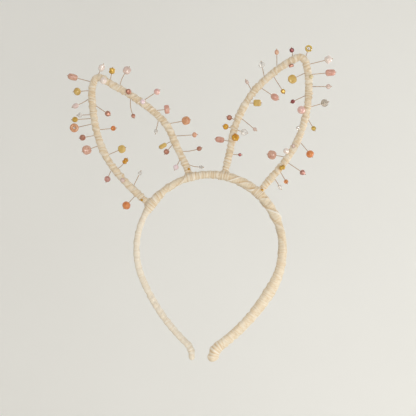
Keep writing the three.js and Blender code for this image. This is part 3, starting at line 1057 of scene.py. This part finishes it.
@dataclass
class FootBindings:
    """The short windings that tie each ear's wire ends down to the band."""

    band: HairBand
    proud: float = 0.55
    spread_past: float = 1.4
    end_sink: float = 0.7
    end_from: float = 0.62
    hump_height: float = 1.9
    hump_half: float = 2.6
    step: float = 0.13
    sides: int = 84

    def _skin(self, foot: Foot, seed: int) -> Skin:
        """One binding.

        Args:
            foot: which foot it ties down.
            seed: fixes its unevenness.

        Returns:
            A ring of close turns round the band that thins to nothing at both ends, with a hump over the
            wire where the ear rises from it.
        """
        spread = foot.length / 2 + self.spread_past
        along = np.arange(foot.at - spread, foot.at + spread, self.step)
        band, frames = self.band, self.band.line.frames(along)
        widths = band.width(along) + self.proud
        thicks = band.thickness(along) + self.proud
        reach = np.abs(along - foot.at) / spread
        sink = (self.proud + self.end_sink) * smooth(self.end_from, 1.0, reach)
        turns = Laps(
            along[0], along[-1], spacing=2.3, strands=1, height=0.36, seed=seed,
            fade=1.0, edge=0.24, creases=1.0, wander=0.26, tone=0.5,
        )
        winding = Winding((turns,), puff=0.12, puff_wave=4.0, crumple=0.06, seed=seed)
        skin = wound_skin(frames, along, widths, thicks, winding, self.sides, band.corner, sink)
        point, across, outward = (part[:, None, :] for part in frames)
        away = ((skin.points - point) * across).sum(axis=-1)
        top = ((skin.points - point) * outward).sum(axis=-1) > 0
        near = hump(foot.at, self.hump_half, along)[:, None]
        lift = self.hump_height * hump(0.0, self.hump_half, away) * near * top
        skin.points = skin.points + lift[..., None] * outward
        return skin

    def build(self, palette: Palette) -> None:
        """Makes the four bindings on the crown."""
        for seed, foot in enumerate(FEET, 41):
            piece = Workshop.build(f"binding_{foot.name}", [self._skin(foot, seed)], palette.cloth)
            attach(piece, "crown")
            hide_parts(f"foot_binding_{foot.name}")
            LOG.info("binding %s: %d points", foot.name, len(piece.data.vertices))


# ---------------------------------------------------------------- beads and stems


class Form(Enum):
    """A bead's shape, as the maker would name it."""

    BALL = "ball"
    BARREL = "barrel"
    TUBE = "tube"
    CUBE = "cube"
    DISC = "disc"
    CUT = "cut"
    NUGGET = "nugget"
    BAROQUE = "baroque"
    LOBES = "lobes"
    DROP = "drop"
    RING = "ring"


# How full each form's long section and cross section are: 1 is an ellipse, and less is squarer.
FULLNESS = {
    Form.BALL: (1.0, 1.0),
    Form.BARREL: (0.62, 1.0),
    Form.TUBE: (0.42, 1.0),
    Form.CUBE: (0.45, 0.45),
    Form.DISC: (0.85, 1.0),
    Form.CUT: (0.9, 1.0),
    Form.NUGGET: (0.8, 0.75),
    Form.BAROQUE: (0.95, 1.0),
    Form.LOBES: (0.9, 1.0),
    Form.DROP: (1.0, 1.0),
}
# How uneven the rougher forms are, as a share of their girth.
SWELLINGS = {Form.NUGGET: 0.14, Form.BAROQUE: 0.13, Form.BARREL: 0.03, Form.DISC: 0.03}


@dataclass(frozen=True)
class Bead:
    """A bead on its stem: its form, size and finish, and where its stem leaves the ear.

    size is across the stem, front to back and along the stem, or for a ring its hole. rise is the stem's
    place along the ear's line, and a bead without one sits on the winding. bend is how far the stem bows
    sideways. at (to the right and up) and depth (to the back) place a bead that has no piece of its own in
    the working model, and the others lie where that piece does. A tied bead sits on a foot's binding, so it
    stays with the band when the ear tilts.
    """

    name: str
    form: Form
    size: tuple[float, float, float]
    finish: str
    rise: Optional[float] = None
    bend: float = 0.0
    at: Optional[tuple[float, float]] = None
    depth: float = 0.0
    tied: bool = False


@dataclass(frozen=True)
class BeadShape:
    """The surface of one bead."""

    hole: float = 0.36
    around: int = 26
    rows: int = 17
    cut_around: int = 8
    cut_rows: int = 6
    ring_corner: float = 0.85

    def _waist(self, form: Form, high: Array) -> Array:
        """How a form narrows or swells along its hole, as a factor on its girth."""
        if form is Form.LOBES:
            return 1.0 - 0.3 * hump(0.0, 0.22, high)
        if form is Form.DROP:
            return 1.0 - 0.32 * smooth(-0.4, 1.0, high)
        return np.ones_like(high)

    def skin(self, bead: Bead, centre: Array, heading: Array) -> Skin:
        """A drilled bead.

        Args:
            bead: its form and size.
            centre: its middle.
            heading: the way its hole runs.

        Returns:
            A closed grid. Each row is a ring round the hole. Its reach along the hole is the sine of an
            angle and its girth the cosine, both to the form's first fullness. Round the ring, cosine and
            sine are raised to its second one. A cut bead keeps few rows and columns, and a nugget or
            baroque bead has low uneven swellings. The last rows turn in and run back through the hole.
        """
        long_power, cross_power = FULLNESS[bead.form]
        cut = bead.form is Form.CUT
        rows, around = (self.cut_rows, self.cut_around) if cut else (self.rows, self.around)
        across, front, along = (part / 2 for part in bead.size)
        ratio = self.hole / min(across, front)
        last = math.acos(min(ratio, 0.9) ** (1.0 / long_power))
        angle = np.linspace(-last, last, rows)[:, None]
        turn = TURN * (np.arange(around)[None, :] + (0.5 if cut else 0.0)) / around
        high = signed_power(np.sin(angle), long_power)
        girth = np.cos(angle) ** long_power * self._waist(bead.form, high)
        x = girth * signed_power(np.cos(turn), cross_power)
        y = girth * signed_power(np.sin(turn), cross_power)
        swell = SWELLINGS.get(bead.form, 0.0)
        seed = sum(map(ord, bead.name))
        factor = 1.0 + swell * ripple(high, turn / TURN, 1.6, 2, seed, 6)
        x, y, z = x * across * factor, y * front * factor, np.broadcast_to(high * along, x.shape)
        wall = np.stack([self.hole * np.cos(turn[0]), self.hole * np.sin(turn[0])], axis=-1)
        ends = [np.stack([wall[:, 0], wall[:, 1], np.full(around, z[i, 0])], axis=-1) for i in (-1, 0)]
        shape = np.concatenate([np.stack([x, y, z], axis=-1), np.array(ends)], axis=0)
        return self._placed(shape, bead, centre, heading)

    def ring_skin(self, bead: Bead, centre: Array) -> Skin:
        """A flat ring bead that faces the front: an oval section carried once round its middle."""
        across, front, hole = (part / 2 for part in bead.size)
        middle, half = (across + hole) / 2, (across - hole) / 2
        turn = TURN * np.arange(40)[:, None] / 40
        spin = TURN * np.arange(18)[None, :] / 18
        reach = middle + half * signed_power(np.cos(spin), self.ring_corner)
        high = front * signed_power(np.sin(spin), self.ring_corner)
        parts = np.broadcast_arrays(reach * np.cos(turn), high, reach * np.sin(turn))
        shape = np.stack(parts, axis=-1)
        return Skin(shape[:, ::-1] + centre, looped=True, length=TURN * middle, girth=TURN * half)

    @staticmethod
    def _placed(shape: Array, bead: Bead, centre: Array, heading: Array) -> Skin:
        """Turns a shape so that its hole follows a heading and its flat sides face the front."""
        along = unit(heading)
        lean = ACROSS if abs(along[1]) < 0.95 else RIGHTWARD
        front = unit(lean - (lean @ along) * along)
        side = np.cross(front, along)
        placed = shape[..., :1] * side + shape[..., 1:2] * front + shape[..., 2:] * along
        girth = math.pi * (bead.size[0] + bead.size[1]) / 2
        return Skin(placed + centre, looped=True, length=bead.size[2] * 1.6, girth=girth)


@dataclass(frozen=True)
class StemWire:
    """Two fine wires twisted together, which carry a bead and pass through it to a small eye.

    before and past are how far the bow ends ahead of the bead and how far the wires run on beyond it,
    squeeze the share by which the strands draw together in it, and eye the radius of the loop at the end.
    """

    strand: float = 0.17
    pitch: float = 2.1
    sides: int = 6
    step: float = 0.3
    bow_points: int = 24
    hole_points: int = 6
    squeeze: float = 0.15
    eye: float = 0.26
    eye_points: int = 15
    before: float = 0.2
    past: float = 0.12

    def _bow(self, root: Array, end: Array, bend: float) -> Array:
        """The stem's middle up to its bead: a straight line with a parabola of the bend's height added."""
        share = np.linspace(0.0, 1.0, self.bow_points)[:, None]
        chord = end - root
        return root + chord * share + sideways(unit(chord)) * bend * 4.0 * share * (1.0 - share)

    def skins(self, root: Array, centre: Array, length: float, bend: float) -> tuple[list[Skin], Array]:
        """The stem of one bead.

        Args:
            root: where it leaves the ear's inner wire.
            centre: the bead's middle.
            length: the bead's length along its hole.
            bend: how far the stem bows to one side.

        Returns:
            The grids of its two strands and its eye, and the way the hole runs. The strands turn about
            the stem's middle once each pitch. They draw together through the hole, and a small closed
            loop stands past the bead.
        """
        straight = unit(centre - root)
        side = sideways(straight)
        distance = float(np.linalg.norm(centre - root))
        heading = unit(straight - side * bend * 4.0 / max(distance, 1.0))
        bow = self._bow(root, centre - heading * (length / 2 + self.before), bend)
        far = centre + heading * (length / 2 + self.past)
        spine = np.vstack([bow, np.linspace(bow[-1], far, self.hole_points)[1:]])
        total = line_length(spine)
        at = np.linspace(0.0, total, max(int(total / self.step), 8))
        middle = resample(spine, at)
        tangent = unit(np.gradient(middle, axis=0))
        first = sideways(tangent)
        second = np.cross(tangent, first)
        inside = smooth(total - length - 0.9, total - length + 0.1, at)[:, None]
        spread = self.strand * (1.0 - self.squeeze * inside)
        strands = []
        for start in (0.0, 0.5):
            angle = TURN * (at / self.pitch + start)[:, None]
            path = middle + spread * (np.cos(angle) * first + np.sin(angle) * second)
            strands.append(tube(path, self.strand, self.sides))
        turn = np.linspace(0.0, TURN, self.eye_points)[:, None] - math.pi / 2
        eye = far + heading * self.eye * (1.0 + np.sin(turn)) + first[-1] * self.eye * np.cos(turn)
        strands.append(tube(eye, self.strand, self.sides))
        return strands, heading


# ---------------------------------------------------------------- the ears


# The way the hole runs through a bead that sits on the winding.
ON_STRIP = unit(np.array([0.94, 0.0, 0.34]))


@dataclass
class Ear:
    """One wire ear: its line, the cloth wound round it, and the beads and stems that stand off it."""

    name: str
    band: HairBand
    feet: tuple[Foot, Foot]
    middle: tuple[tuple[float, float], ...]
    beads: tuple[Bead, ...]
    lap_seed: int
    foot_rise: float = 8.3
    half_thick: float = 2.75
    slimmer_feet: float = 0.35
    unevenness: float = 0.12
    uneven_wave: float = 26.0
    wire_back: float = 1.0
    run_radius: float = 0.3
    run_ends: float = 4.4
    run_rings: int = 240
    ring_hook: float = 0.5
    bend_below: float = 3.2
    bend_above: float = 8.0
    tuck: float = 4.6
    tuck_points: int = 12
    corner_easing: int = 9
    step: float = 0.175
    sides: int = 52
    shape: BeadShape = field(default_factory=BeadShape)
    wire: StemWire = field(default_factory=StemWire)

    def __post_init__(self) -> None:
        """Works out the ear's line once."""
        low, high = (self.band.line.point(foot.at, self.foot_rise) for foot in self.feet)
        knots = [low, *(np.array([x, 0.0, z]) for x, z in self.middle), high]
        self.line = spline(np.array(knots))
        self.length = line_length(self.line)

    def place(self, at: float) -> Array:
        """A place on the ear's line, at a distance from its left foot."""
        return resample(self.line, np.array([at]))[0]

    def winding(self) -> Winding:
        """The strip round the ear: slanting turns, puffed and uneven, closer at the feet."""
        end = self.length
        # Start, end, spacing, strands, height, seed, fade, edge, creases, wander and tone of each run.
        return Winding((
            Laps(6.0, end - 6.0, 4.3, 1, 0.3, self.lap_seed, 3.0, 0.24, 2.0, 0.42, 0.42),
            Laps(-6.0, 5.0, 2.2, 1, 0.34, self.lap_seed + 7, 2.0, 0.22, 1.0, 0.2, 0.6),
            Laps(end - 5.0, end + 6.0, 2.2, 1, 0.34, self.lap_seed + 8, 2.0, 0.22, 1.0, 0.2, 0.6),
        ), puff=0.26, puff_wave=5.0, crumple=0.1, seed=self.lap_seed + 2)

    def _wrap(self) -> Skin:
        """The ear's winding, carried down into both bindings and drawn in there."""
        low, high = (self.band.line.point(foot.at, self.foot_rise - self.tuck) for foot in self.feet)
        drop = np.linspace(0.0, 1.0, self.tuck_points, endpoint=False)[:, None]
        whole = np.vstack([
            low + (self.line[0] - low) * drop,
            self.line,
            (self.line[-1] + (high - self.line[-1]) * drop)[1:],
            high[None, :],
        ])
        total = line_length(whole)
        at = np.linspace(0.0, total, int(total / self.step))
        point = smoothed(resample(whole, at), self.corner_easing)
        tangent = unit(np.gradient(point, axis=0))
        outward = unit(np.stack([-tangent[:, 2], np.zeros(len(at)), tangent[:, 0]], axis=-1))
        across = np.broadcast_to(ACROSS, point.shape)
        along = at - self.tuck
        from_foot = np.minimum(along, self.length - along)
        size = self.half_thick - self.slimmer_feet * (1.0 - smooth(-4.5, 3.0, from_foot))
        size = size + self.unevenness * ripple(along, 0.0, self.uneven_wave, 0, self.lap_seed)
        return wound_skin((point, across, outward), along, size, size, self.winding(), self.sides)

    def _centre(self, bead: Bead) -> Array:
        """A bead's middle: its working piece's, or the place it states."""
        if bead.at is not None:
            return np.array([bead.at[0], bead.depth, bead.at[1]])
        low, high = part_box(f"bead_{self.name}_{bead.name}")
        return (np.array(low) + np.array(high)) / 2 / METRES

    def _bead(self, bead: Bead, stems: list[Skin], material: bpy.types.Material) -> bpy.types.Object:
        """One bead, with its stem added to the ear's list.

        Args:
            bead: the bead.
            stems: the ear's stem grids so far.
            material: what it is made of.

        Returns:
            The bead's object. A ring hangs on a short hook that comes through it from behind.
        """
        centre, heading = self._centre(bead), ON_STRIP
        if bead.rise is not None:
            root = self.place(bead.rise) + ACROSS * self.wire_back
            if bead.form is Form.RING:
                behind = centre + ACROSS * (bead.size[1] / 2 + self.ring_hook)
                made, _ = self.wire.skins(root, behind, 0.0, bead.bend)
                hook, heading = self.wire.skins(behind, centre, bead.size[1], 0.0)
                stems.extend([*made[:2], *hook])
            else:
                made, heading = self.wire.skins(root, centre, bead.size[2], bead.bend)
                stems.extend(made)
        ring = bead.form is Form.RING
        skin = self.shape.ring_skin(bead, centre) if ring else self.shape.skin(bead, centre, heading)
        name = f"bead_{self.name}_{bead.name}_finished"
        return Workshop.build(name, [skin], material, bead.form is Form.CUT)

    def _run(self) -> Skin:
        """The fine wire inside the winding that all the stems leave."""
        at = np.linspace(self.run_ends, self.length - self.run_ends, self.run_rings)
        return tube(resample(self.line, at) + ACROSS * self.wire_back, self.run_radius, 8)

    def _bend(self, piece: bpy.types.Object) -> None:
        """Bakes the winding's place into its mesh. A line across the ear's feet is worked out but not used.
        """
        chord = unit(self.line[-1] - self.line[0])
        up = np.array([-chord[2], 0.0, chord[0]])
        middle = (self.line[0] + self.line[-1]) / 2
        start, end = (middle - up * self.bend_below) * METRES, (middle + up * self.bend_above) * METRES
        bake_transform(piece)

    def build(self, palette: Palette) -> None:
        """Makes the winding, the beads and the stems, and hides the working pieces that they replace."""
        body = f"{self.name}_ear"
        wrap = Workshop.build(f"ear_winding_{self.name}", [self._wrap()], palette.cloth)
        self._bend(wrap)
        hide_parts(f"ear_wrap_{self.name}")
        stems = [self._run()]
        for bead in self.beads:
            piece = self._bead(bead, stems, palette.beads[bead.finish])
            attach(piece, "crown" if bead.tied else body)
            if bead.at is None:
                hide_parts(f"bead_{self.name}_{bead.name}")
        wires = Workshop.build(f"bead_stems_{self.name}", stems, palette.copper)
        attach(wires, body)
        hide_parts(f"bead_wire_{self.name}")
        counts = len(self.beads), len(wrap.data.vertices), len(wires.data.vertices)
        LOG.info("%s ear: %d beads, winding of %d points, stems of %d points", self.name, *counts)


LEFT_MIDDLE = (
    (-72, -6.5), (-86.7, 10.2), (-96, 30), (-101, 52), (-102, 66.5), (-97.7, 74.2),
    (-86, 69), (-70, 61.2), (-53.3, 50.8), (-40.5, 39.3), (-32, 24),
)
RIGHT_MIDDLE = (
    (11.6, 25), (13.1, 38.4), (18, 54), (27, 71), (40.6, 86), (55, 97.5), (63.7, 100.8),
    (68, 94), (70.5, 81), (71, 69), (69.8, 54), (64.8, 35), (56, 17.5),
)

LEFT_BEADS = (
    Bead("salmon_barrel", Form.BARREL, (5.2, 5.2, 8.0), "salmon", 106.0),
    Bead("gold_nugget", Form.NUGGET, (4.8, 4.8, 5.0), "gold", 122.0),
    Bead("blush_disc", Form.DISC, (6.4, 3.0, 6.4), "blush", 131.0, 0.8),
    Bead("gold_ball", Form.BALL, (6.4, 6.4, 6.0), "mustard", 99.5),
    Bead("mauve_oval", Form.BALL, (4.2, 4.0, 5.6), "mauve", 95.0, 0.6),
    Bead("garnet_upper", Form.CUT, (4.8, 4.8, 4.6), "garnet", 89.0),
    Bead("gold_side", Form.CUT, (4.8, 4.8, 4.8), "gold", 77.0),
    Bead("orange_ring", Form.RING, (7.2, 3.0, 1.7), "rust", 73.0),
    Bead("garnet_side", Form.CUT, (5.2, 5.2, 5.0), "garnet", 63.5),
    Bead("salmon_flat", Form.DISC, (7.4, 3.4, 7.4), "salmon", 55.0),
    Bead("orange_inner", Form.CUT, (4.4, 4.4, 4.2), "ember", 67.5),
    Bead("mustard_disc", Form.DISC, (6.4, 3.0, 6.4), "mustard", 45.5),
    Bead("amber_lobes", Form.LOBES, (4.4, 4.4, 5.2), "amber", 32.5, -0.8),
    Bead("pink_glass", Form.BALL, (5.0, 5.0, 5.0), "pink_glass", 35.0),
    Bead("orange_foot", Form.BALL, (6.8, 6.8, 6.4), "orange", 6.0),
    Bead("pink_pearl", Form.BALL, (5.2, 5.2, 5.0), "pink", 151.5),
    Bead("coral_tube", Form.TUBE, (7.2, 4.0, 4.0), "coral", 163.0),
    Bead("orange_flat", Form.DISC, (6.8, 3.4, 6.8), "rust", 178.0),
    Bead("peach_ball", Form.BALL, (4.4, 4.4, 4.0), "peach", 189.0),
    Bead("rose_ball", Form.CUT, (4.0, 4.0, 4.0), "garnet", 202.0, -0.8),
)
LEFT_EXTRAS = (
    Bead("white_baroque", Form.BAROQUE, (5.2, 5.0, 6.4), "pearl", 110.0, at=(-95.4, 81.8), depth=-2.5),
    Bead("tip_pearl", Form.BALL, (5.6, 5.6, 5.6), "pearl", at=(-93.1, 71.5), depth=-4.6),
    Bead("garnet_on_strip", Form.CUT, (4.8, 4.8, 4.6), "garnet", at=(-72.6, 64.0), depth=-4.8),
    Bead("garnet_hanging", Form.CUT, (3.6, 3.6, 3.4), "garnet", 142.0, -1.2, at=(-67.7, 45.1), depth=-3.0),
    Bead("clear_side", Form.BALL, (4.0, 4.0, 4.0), "clear", 80.0, at=(-110.5, 43.1), depth=-1.0),
    Bead("mauve_on_strip", Form.BALL, (3.6, 3.6, 3.6), "mauve", at=(-72.8, -6.6), depth=-4.2),
    Bead("clear_foot", Form.CUT, (3.4, 3.4, 3.4), "clear", 11.6, at=(-59.6, -0.1), depth=0.0),
    Bead("amber_seed_outer", Form.BALL, (2.0, 2.0, 2.0), "amber", at=(-56.5, -21.5), depth=-3.4),
    Bead("clear_hanging", Form.CUT, (3.6, 3.6, 3.6), "clear", 170.0, at=(-49.0, 34.3), depth=1.5),
    Bead("mustard_tube", Form.TUBE, (3.6, 3.6, 6.4), "mustard", 192.0, at=(-42.6, 22.7), depth=-3.0),
    Bead("garnet_inner", Form.CUT, (4.8, 4.8, 4.6), "garnet", 194.0, at=(-39.5, 18.5), depth=2.0),
    Bead("lilac_inner", Form.BALL, (4.4, 4.4, 4.4), "lilac", 207.0, at=(-31.1, 6.6), depth=1.0),
    Bead("amber_seed_inner", Form.BALL, (2.0, 2.0, 2.0), "amber", at=(-20.7, 5.7), depth=-3.6, tied=True),
    Bead("clear_near", Form.CUT, (3.4, 3.4, 3.4), "clear", 212.0, -0.8, at=(-11.2, 7.9), depth=-2.0),
    Bead("lilac_on_strip", Form.BALL, (4.0, 4.0, 4.0), "lilac", at=(-60.9, 56.8), depth=-4.2),
)
RIGHT_BEADS = (
    Bead("clear_ball", Form.BALL, (5.4, 5.4, 5.0), "clear", 77.0),
    Bead("peach_oval", Form.BALL, (3.6, 3.6, 4.4), "peach", 89.5),
    Bead("yellow_ring", Form.RING, (6.0, 2.8, 2.4), "yellow", 115.5),
    Bead("pearl_ball", Form.BAROQUE, (6.4, 6.4, 6.2), "pearl", 119.5),
    Bead("coral_barrel", Form.BARREL, (5.6, 5.6, 8.0), "coral", 127.5),
    Bead("blush_ball", Form.BALL, (4.0, 4.0, 4.0), "blush", 137.0),
    Bead("smoke_ball", Form.BALL, (6.4, 6.4, 6.0), "smoke", 154.0),
    Bead("olive_ball", Form.CUT, (4.0, 4.0, 4.0), "olive", 160.5),
    Bead("orange_ball", Form.BALL, (6.4, 6.4, 6.0), "orange", 180.5),
    Bead("rose_drop", Form.DROP, (4.8, 4.8, 4.6), "rose", 200.5),
    Bead("pink_flat", Form.DISC, (7.2, 3.4, 7.2), "salmon", 197.0),
    Bead("mustard_disc", Form.DISC, (7.2, 3.0, 7.2), "mustard", 125.0),
    Bead("gold_ball", Form.CUT, (4.0, 4.0, 4.0), "gold", 84.5),
    Bead("coral_oval", Form.BALL, (5.6, 5.6, 7.2), "coral", 70.0),
    Bead("garnet_ball", Form.CUT, (3.6, 3.6, 3.6), "crimson", 143.0),
    Bead("mustard_cube", Form.CUBE, (5.4, 5.4, 6.0), "mustard", 53.0),
    Bead("garnet_near", Form.CUT, (4.6, 4.6, 4.4), "garnet", 37.5),
    Bead("amber_ball", Form.BALL, (4.8, 4.8, 4.6), "amber", 30.5),
    Bead("coral_foot", Form.BARREL, (4.8, 4.8, 7.2), "coral", 20.0),
    Bead("clear_inner", Form.BALL, (5.6, 5.6, 5.4), "clear", 30.0),
)
RIGHT_EXTRAS = (
    Bead("pink_seed", Form.BALL, (2.8, 2.8, 4.0), "blush", 63.0, at=(21.1, 78.2), depth=-1.0),
    Bead("crimson_top", Form.CUT, (4.0, 4.0, 3.8), "crimson", 105.0, at=(55.3, 106.1), depth=1.0),
    Bead("orange_low", Form.BALL, (3.6, 3.6, 3.6), "ember", 209.0, at=(57.4, 0.8), depth=-2.0),
    Bead("gold_on_strip", Form.LOBES, (4.4, 4.4, 4.8), "gold", at=(53.5, 11.7), depth=-4.4),
    Bead("pearl_on_strip", Form.BALL, (4.8, 4.8, 4.8), "pearl", at=(55.8, 25.1), depth=-4.0),
    Bead("pink_on_strip", Form.BALL, (6.4, 6.0, 6.4), "pink", at=(65.7, 58.6), depth=-3.8),
    Bead("amber_on_strip", Form.NUGGET, (5.6, 4.4, 6.0), "amber", at=(14.8, 33.3), depth=-4.2),
    Bead("pale_inner", Form.BALL, (3.2, 3.2, 3.2), "blush", 41.0, at=(29.9, 41.1), depth=2.0),
    Bead("red_seed", Form.CUT, (2.8, 2.8, 2.8), "crimson", 9.5, at=(19.3, 19.9), depth=1.5),
    Bead("brown_on_strip", Form.TUBE, (2.4, 2.4, 4.0), "garnet", at=(55.4, 93.2), depth=-4.0),
    Bead("yellow_on_strip", Form.BALL, (3.4, 3.4, 3.4), "straw", at=(71.9, 85.5), depth=-3.6),
    Bead("clear_on_strip", Form.CUT, (3.4, 3.4, 3.4), "clear", at=(64.2, 44.1), depth=-3.6),
    Bead("clear_low", Form.CUT, (3.6, 3.6, 3.6), "clear", 216.0, at=(52.9, -3.9), depth=1.0),
    Bead("amber_seed_right", Form.BALL, (2.2, 2.2, 2.2), "amber", at=(38.7, -7.3), depth=-4.0, tied=True),
    Bead("pale_on_strip", Form.BALL, (3.2, 3.2, 3.2), "blush", at=(61.2, 29.5), depth=-3.8),
)


# ---------------------------------------------------------------- the studio


@dataclass(frozen=True)
class Lamp:
    """A soft square light: where it stands, how wide it is, its power and colour, and what it faces."""

    name: str
    at: tuple[float, float, float]
    size: float
    power: float
    colour: Colour
    aim: tuple[float, float, float] = (0.0, 0.0, 0.0)


@dataclass
class Studio:
    """The floor, the backdrop, the lights and the camera, in metres."""

    eye: tuple[float, float, float] = (-0.0034, -1.1, -0.0243)
    tilt: float = 3.75
    lens: float = 119.0
    sensor: float = 36.0
    floor_height: float = -0.95
    backdrop_at: float = 1.4
    backdrop_top: float = 4.0
    reach: float = 30.0
    air: Colour = (0.95, 0.935, 0.91)
    air_strength: float = 0.55
    # Name, place, width, power, colour and aim of each lamp.
    lamps: tuple[Lamp, ...] = (
        Lamp("key", (1.6, 0.1, -0.35), 0.9, 5.5, (1.0, 0.98, 0.95)),
        Lamp("window", (0.2, -1.5, 0.05), 0.5, 5.8, (1.0, 0.97, 0.92)),
        Lamp("fill", (0.3, -1.35, -0.6), 1.2, 4.5, (1.0, 0.955, 0.9)),
        Lamp("back", (0.3, 0.9, 0.6), 0.9, 2.0, (1.0, 0.96, 0.9)),
        Lamp("wash", (1.8, 0.1, -0.75), 1.2, 14.0, (0.96, 0.985, 1.0), (0.8, 1.4, -0.15)),
    )

    def camera(self) -> None:
        """A long lens square to the front, rolled a little so that the band hangs to one side."""
        data = bpy.data.cameras.new("view")
        data.lens = self.lens
        data.sensor_width = self.sensor
        roll = math.radians(self.tilt)
        c, s = math.cos(roll), math.sin(roll)
        turn = Matrix(((c, -s, 0.0), (0.0, 0.0, -1.0), (s, c, 0.0)))
        eye = put("view", data)
        eye.matrix_world = Matrix.Translation(self.eye) @ turn.to_4x4()
        bpy.context.scene.camera = eye

    def _board(self, name: str, corners: Sequence[tuple[float, float, float]], shade: Colour) -> None:
        """A flat board of the stage, from its four corners."""
        mesh = bpy.data.meshes.new(name)
        mesh.from_pydata(corners, [], [(0, 1, 2, 3)])
        board = put(name, mesh)
        tree = NodeTree(name)
        mottle = tree.noise(3.0, 2.0)
        ground = tree.blend(mottle * 0.12, shade, DUST)
        mesh.materials.append(tree.surface({"Base Color": ground, "Roughness": 0.85}))

    def build(self) -> None:
        """Sets up the camera, the boards, the lamps and the pale surroundings."""
        self.camera()
        x, y, z, top = self.reach, self.backdrop_at, self.floor_height, self.backdrop_top
        ground = ((-x, -x, z), (x, -x, z), (x, y, z), (-x, y, z))
        wall = ((-x, y, z), (x, y, z), (x, y, top), (-x, y, top))
        self._board("floor", ground, tint(236, 234, 228))
        self._board("backdrop", wall, tint(249, 249, 246))
        for lamp in self.lamps:
            data = bpy.data.lights.new(lamp.name, "AREA")
            data.size, data.energy, data.color = lamp.size, lamp.power, lamp.colour
            light = put(lamp.name, data)
            light.location = lamp.at
            light.rotation_euler = (Vector(lamp.aim) - Vector(lamp.at)).to_track_quat("-Z", "Y").to_euler()
        world = bpy.data.worlds.new("surroundings")
        world.use_nodes = True
        air = world.node_tree.nodes["Background"]
        air.inputs["Color"].default_value = (*self.air, 1.0)
        air.inputs["Strength"].default_value = self.air_strength
        bpy.context.scene.world = world
        bpy.context.scene.view_settings.view_transform = "Standard"


def dress_kept_wires(palette: Palette) -> None:
    """Gives the wires that stay from the working model their drawn steel."""
    kept = ["ear_wire_left", "ear_wire_right", *(f"foot_wire_{foot.name}" for foot in FEET)]
    for name in kept:
        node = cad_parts[name]
        node.data.materials.clear()
        node.data.materials.append(palette.steel)
        LOG.info("kept %s", name)


def write_sizes() -> None:
    """Updates the view layer."""
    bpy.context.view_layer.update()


def main() -> None:
    """Builds the studio, the band, the bindings and the two ears, in that order."""
    logging.basicConfig(level=logging.INFO, format="%(name)s: %(message)s")
    Studio().build()
    palette = Palette()
    band = HairBand()
    band.build(palette)
    FootBindings(band).build(palette)
    Ear("left", band, LEFT_FEET, LEFT_MIDDLE, (*LEFT_BEADS, *LEFT_EXTRAS), 61).build(palette)
    Ear("right", band, RIGHT_FEET, RIGHT_MIDDLE, (*RIGHT_BEADS, *RIGHT_EXTRAS), 71).build(palette)
    dress_kept_wires(palette)
    write_sizes()


if __name__ == "__main__":
    main()
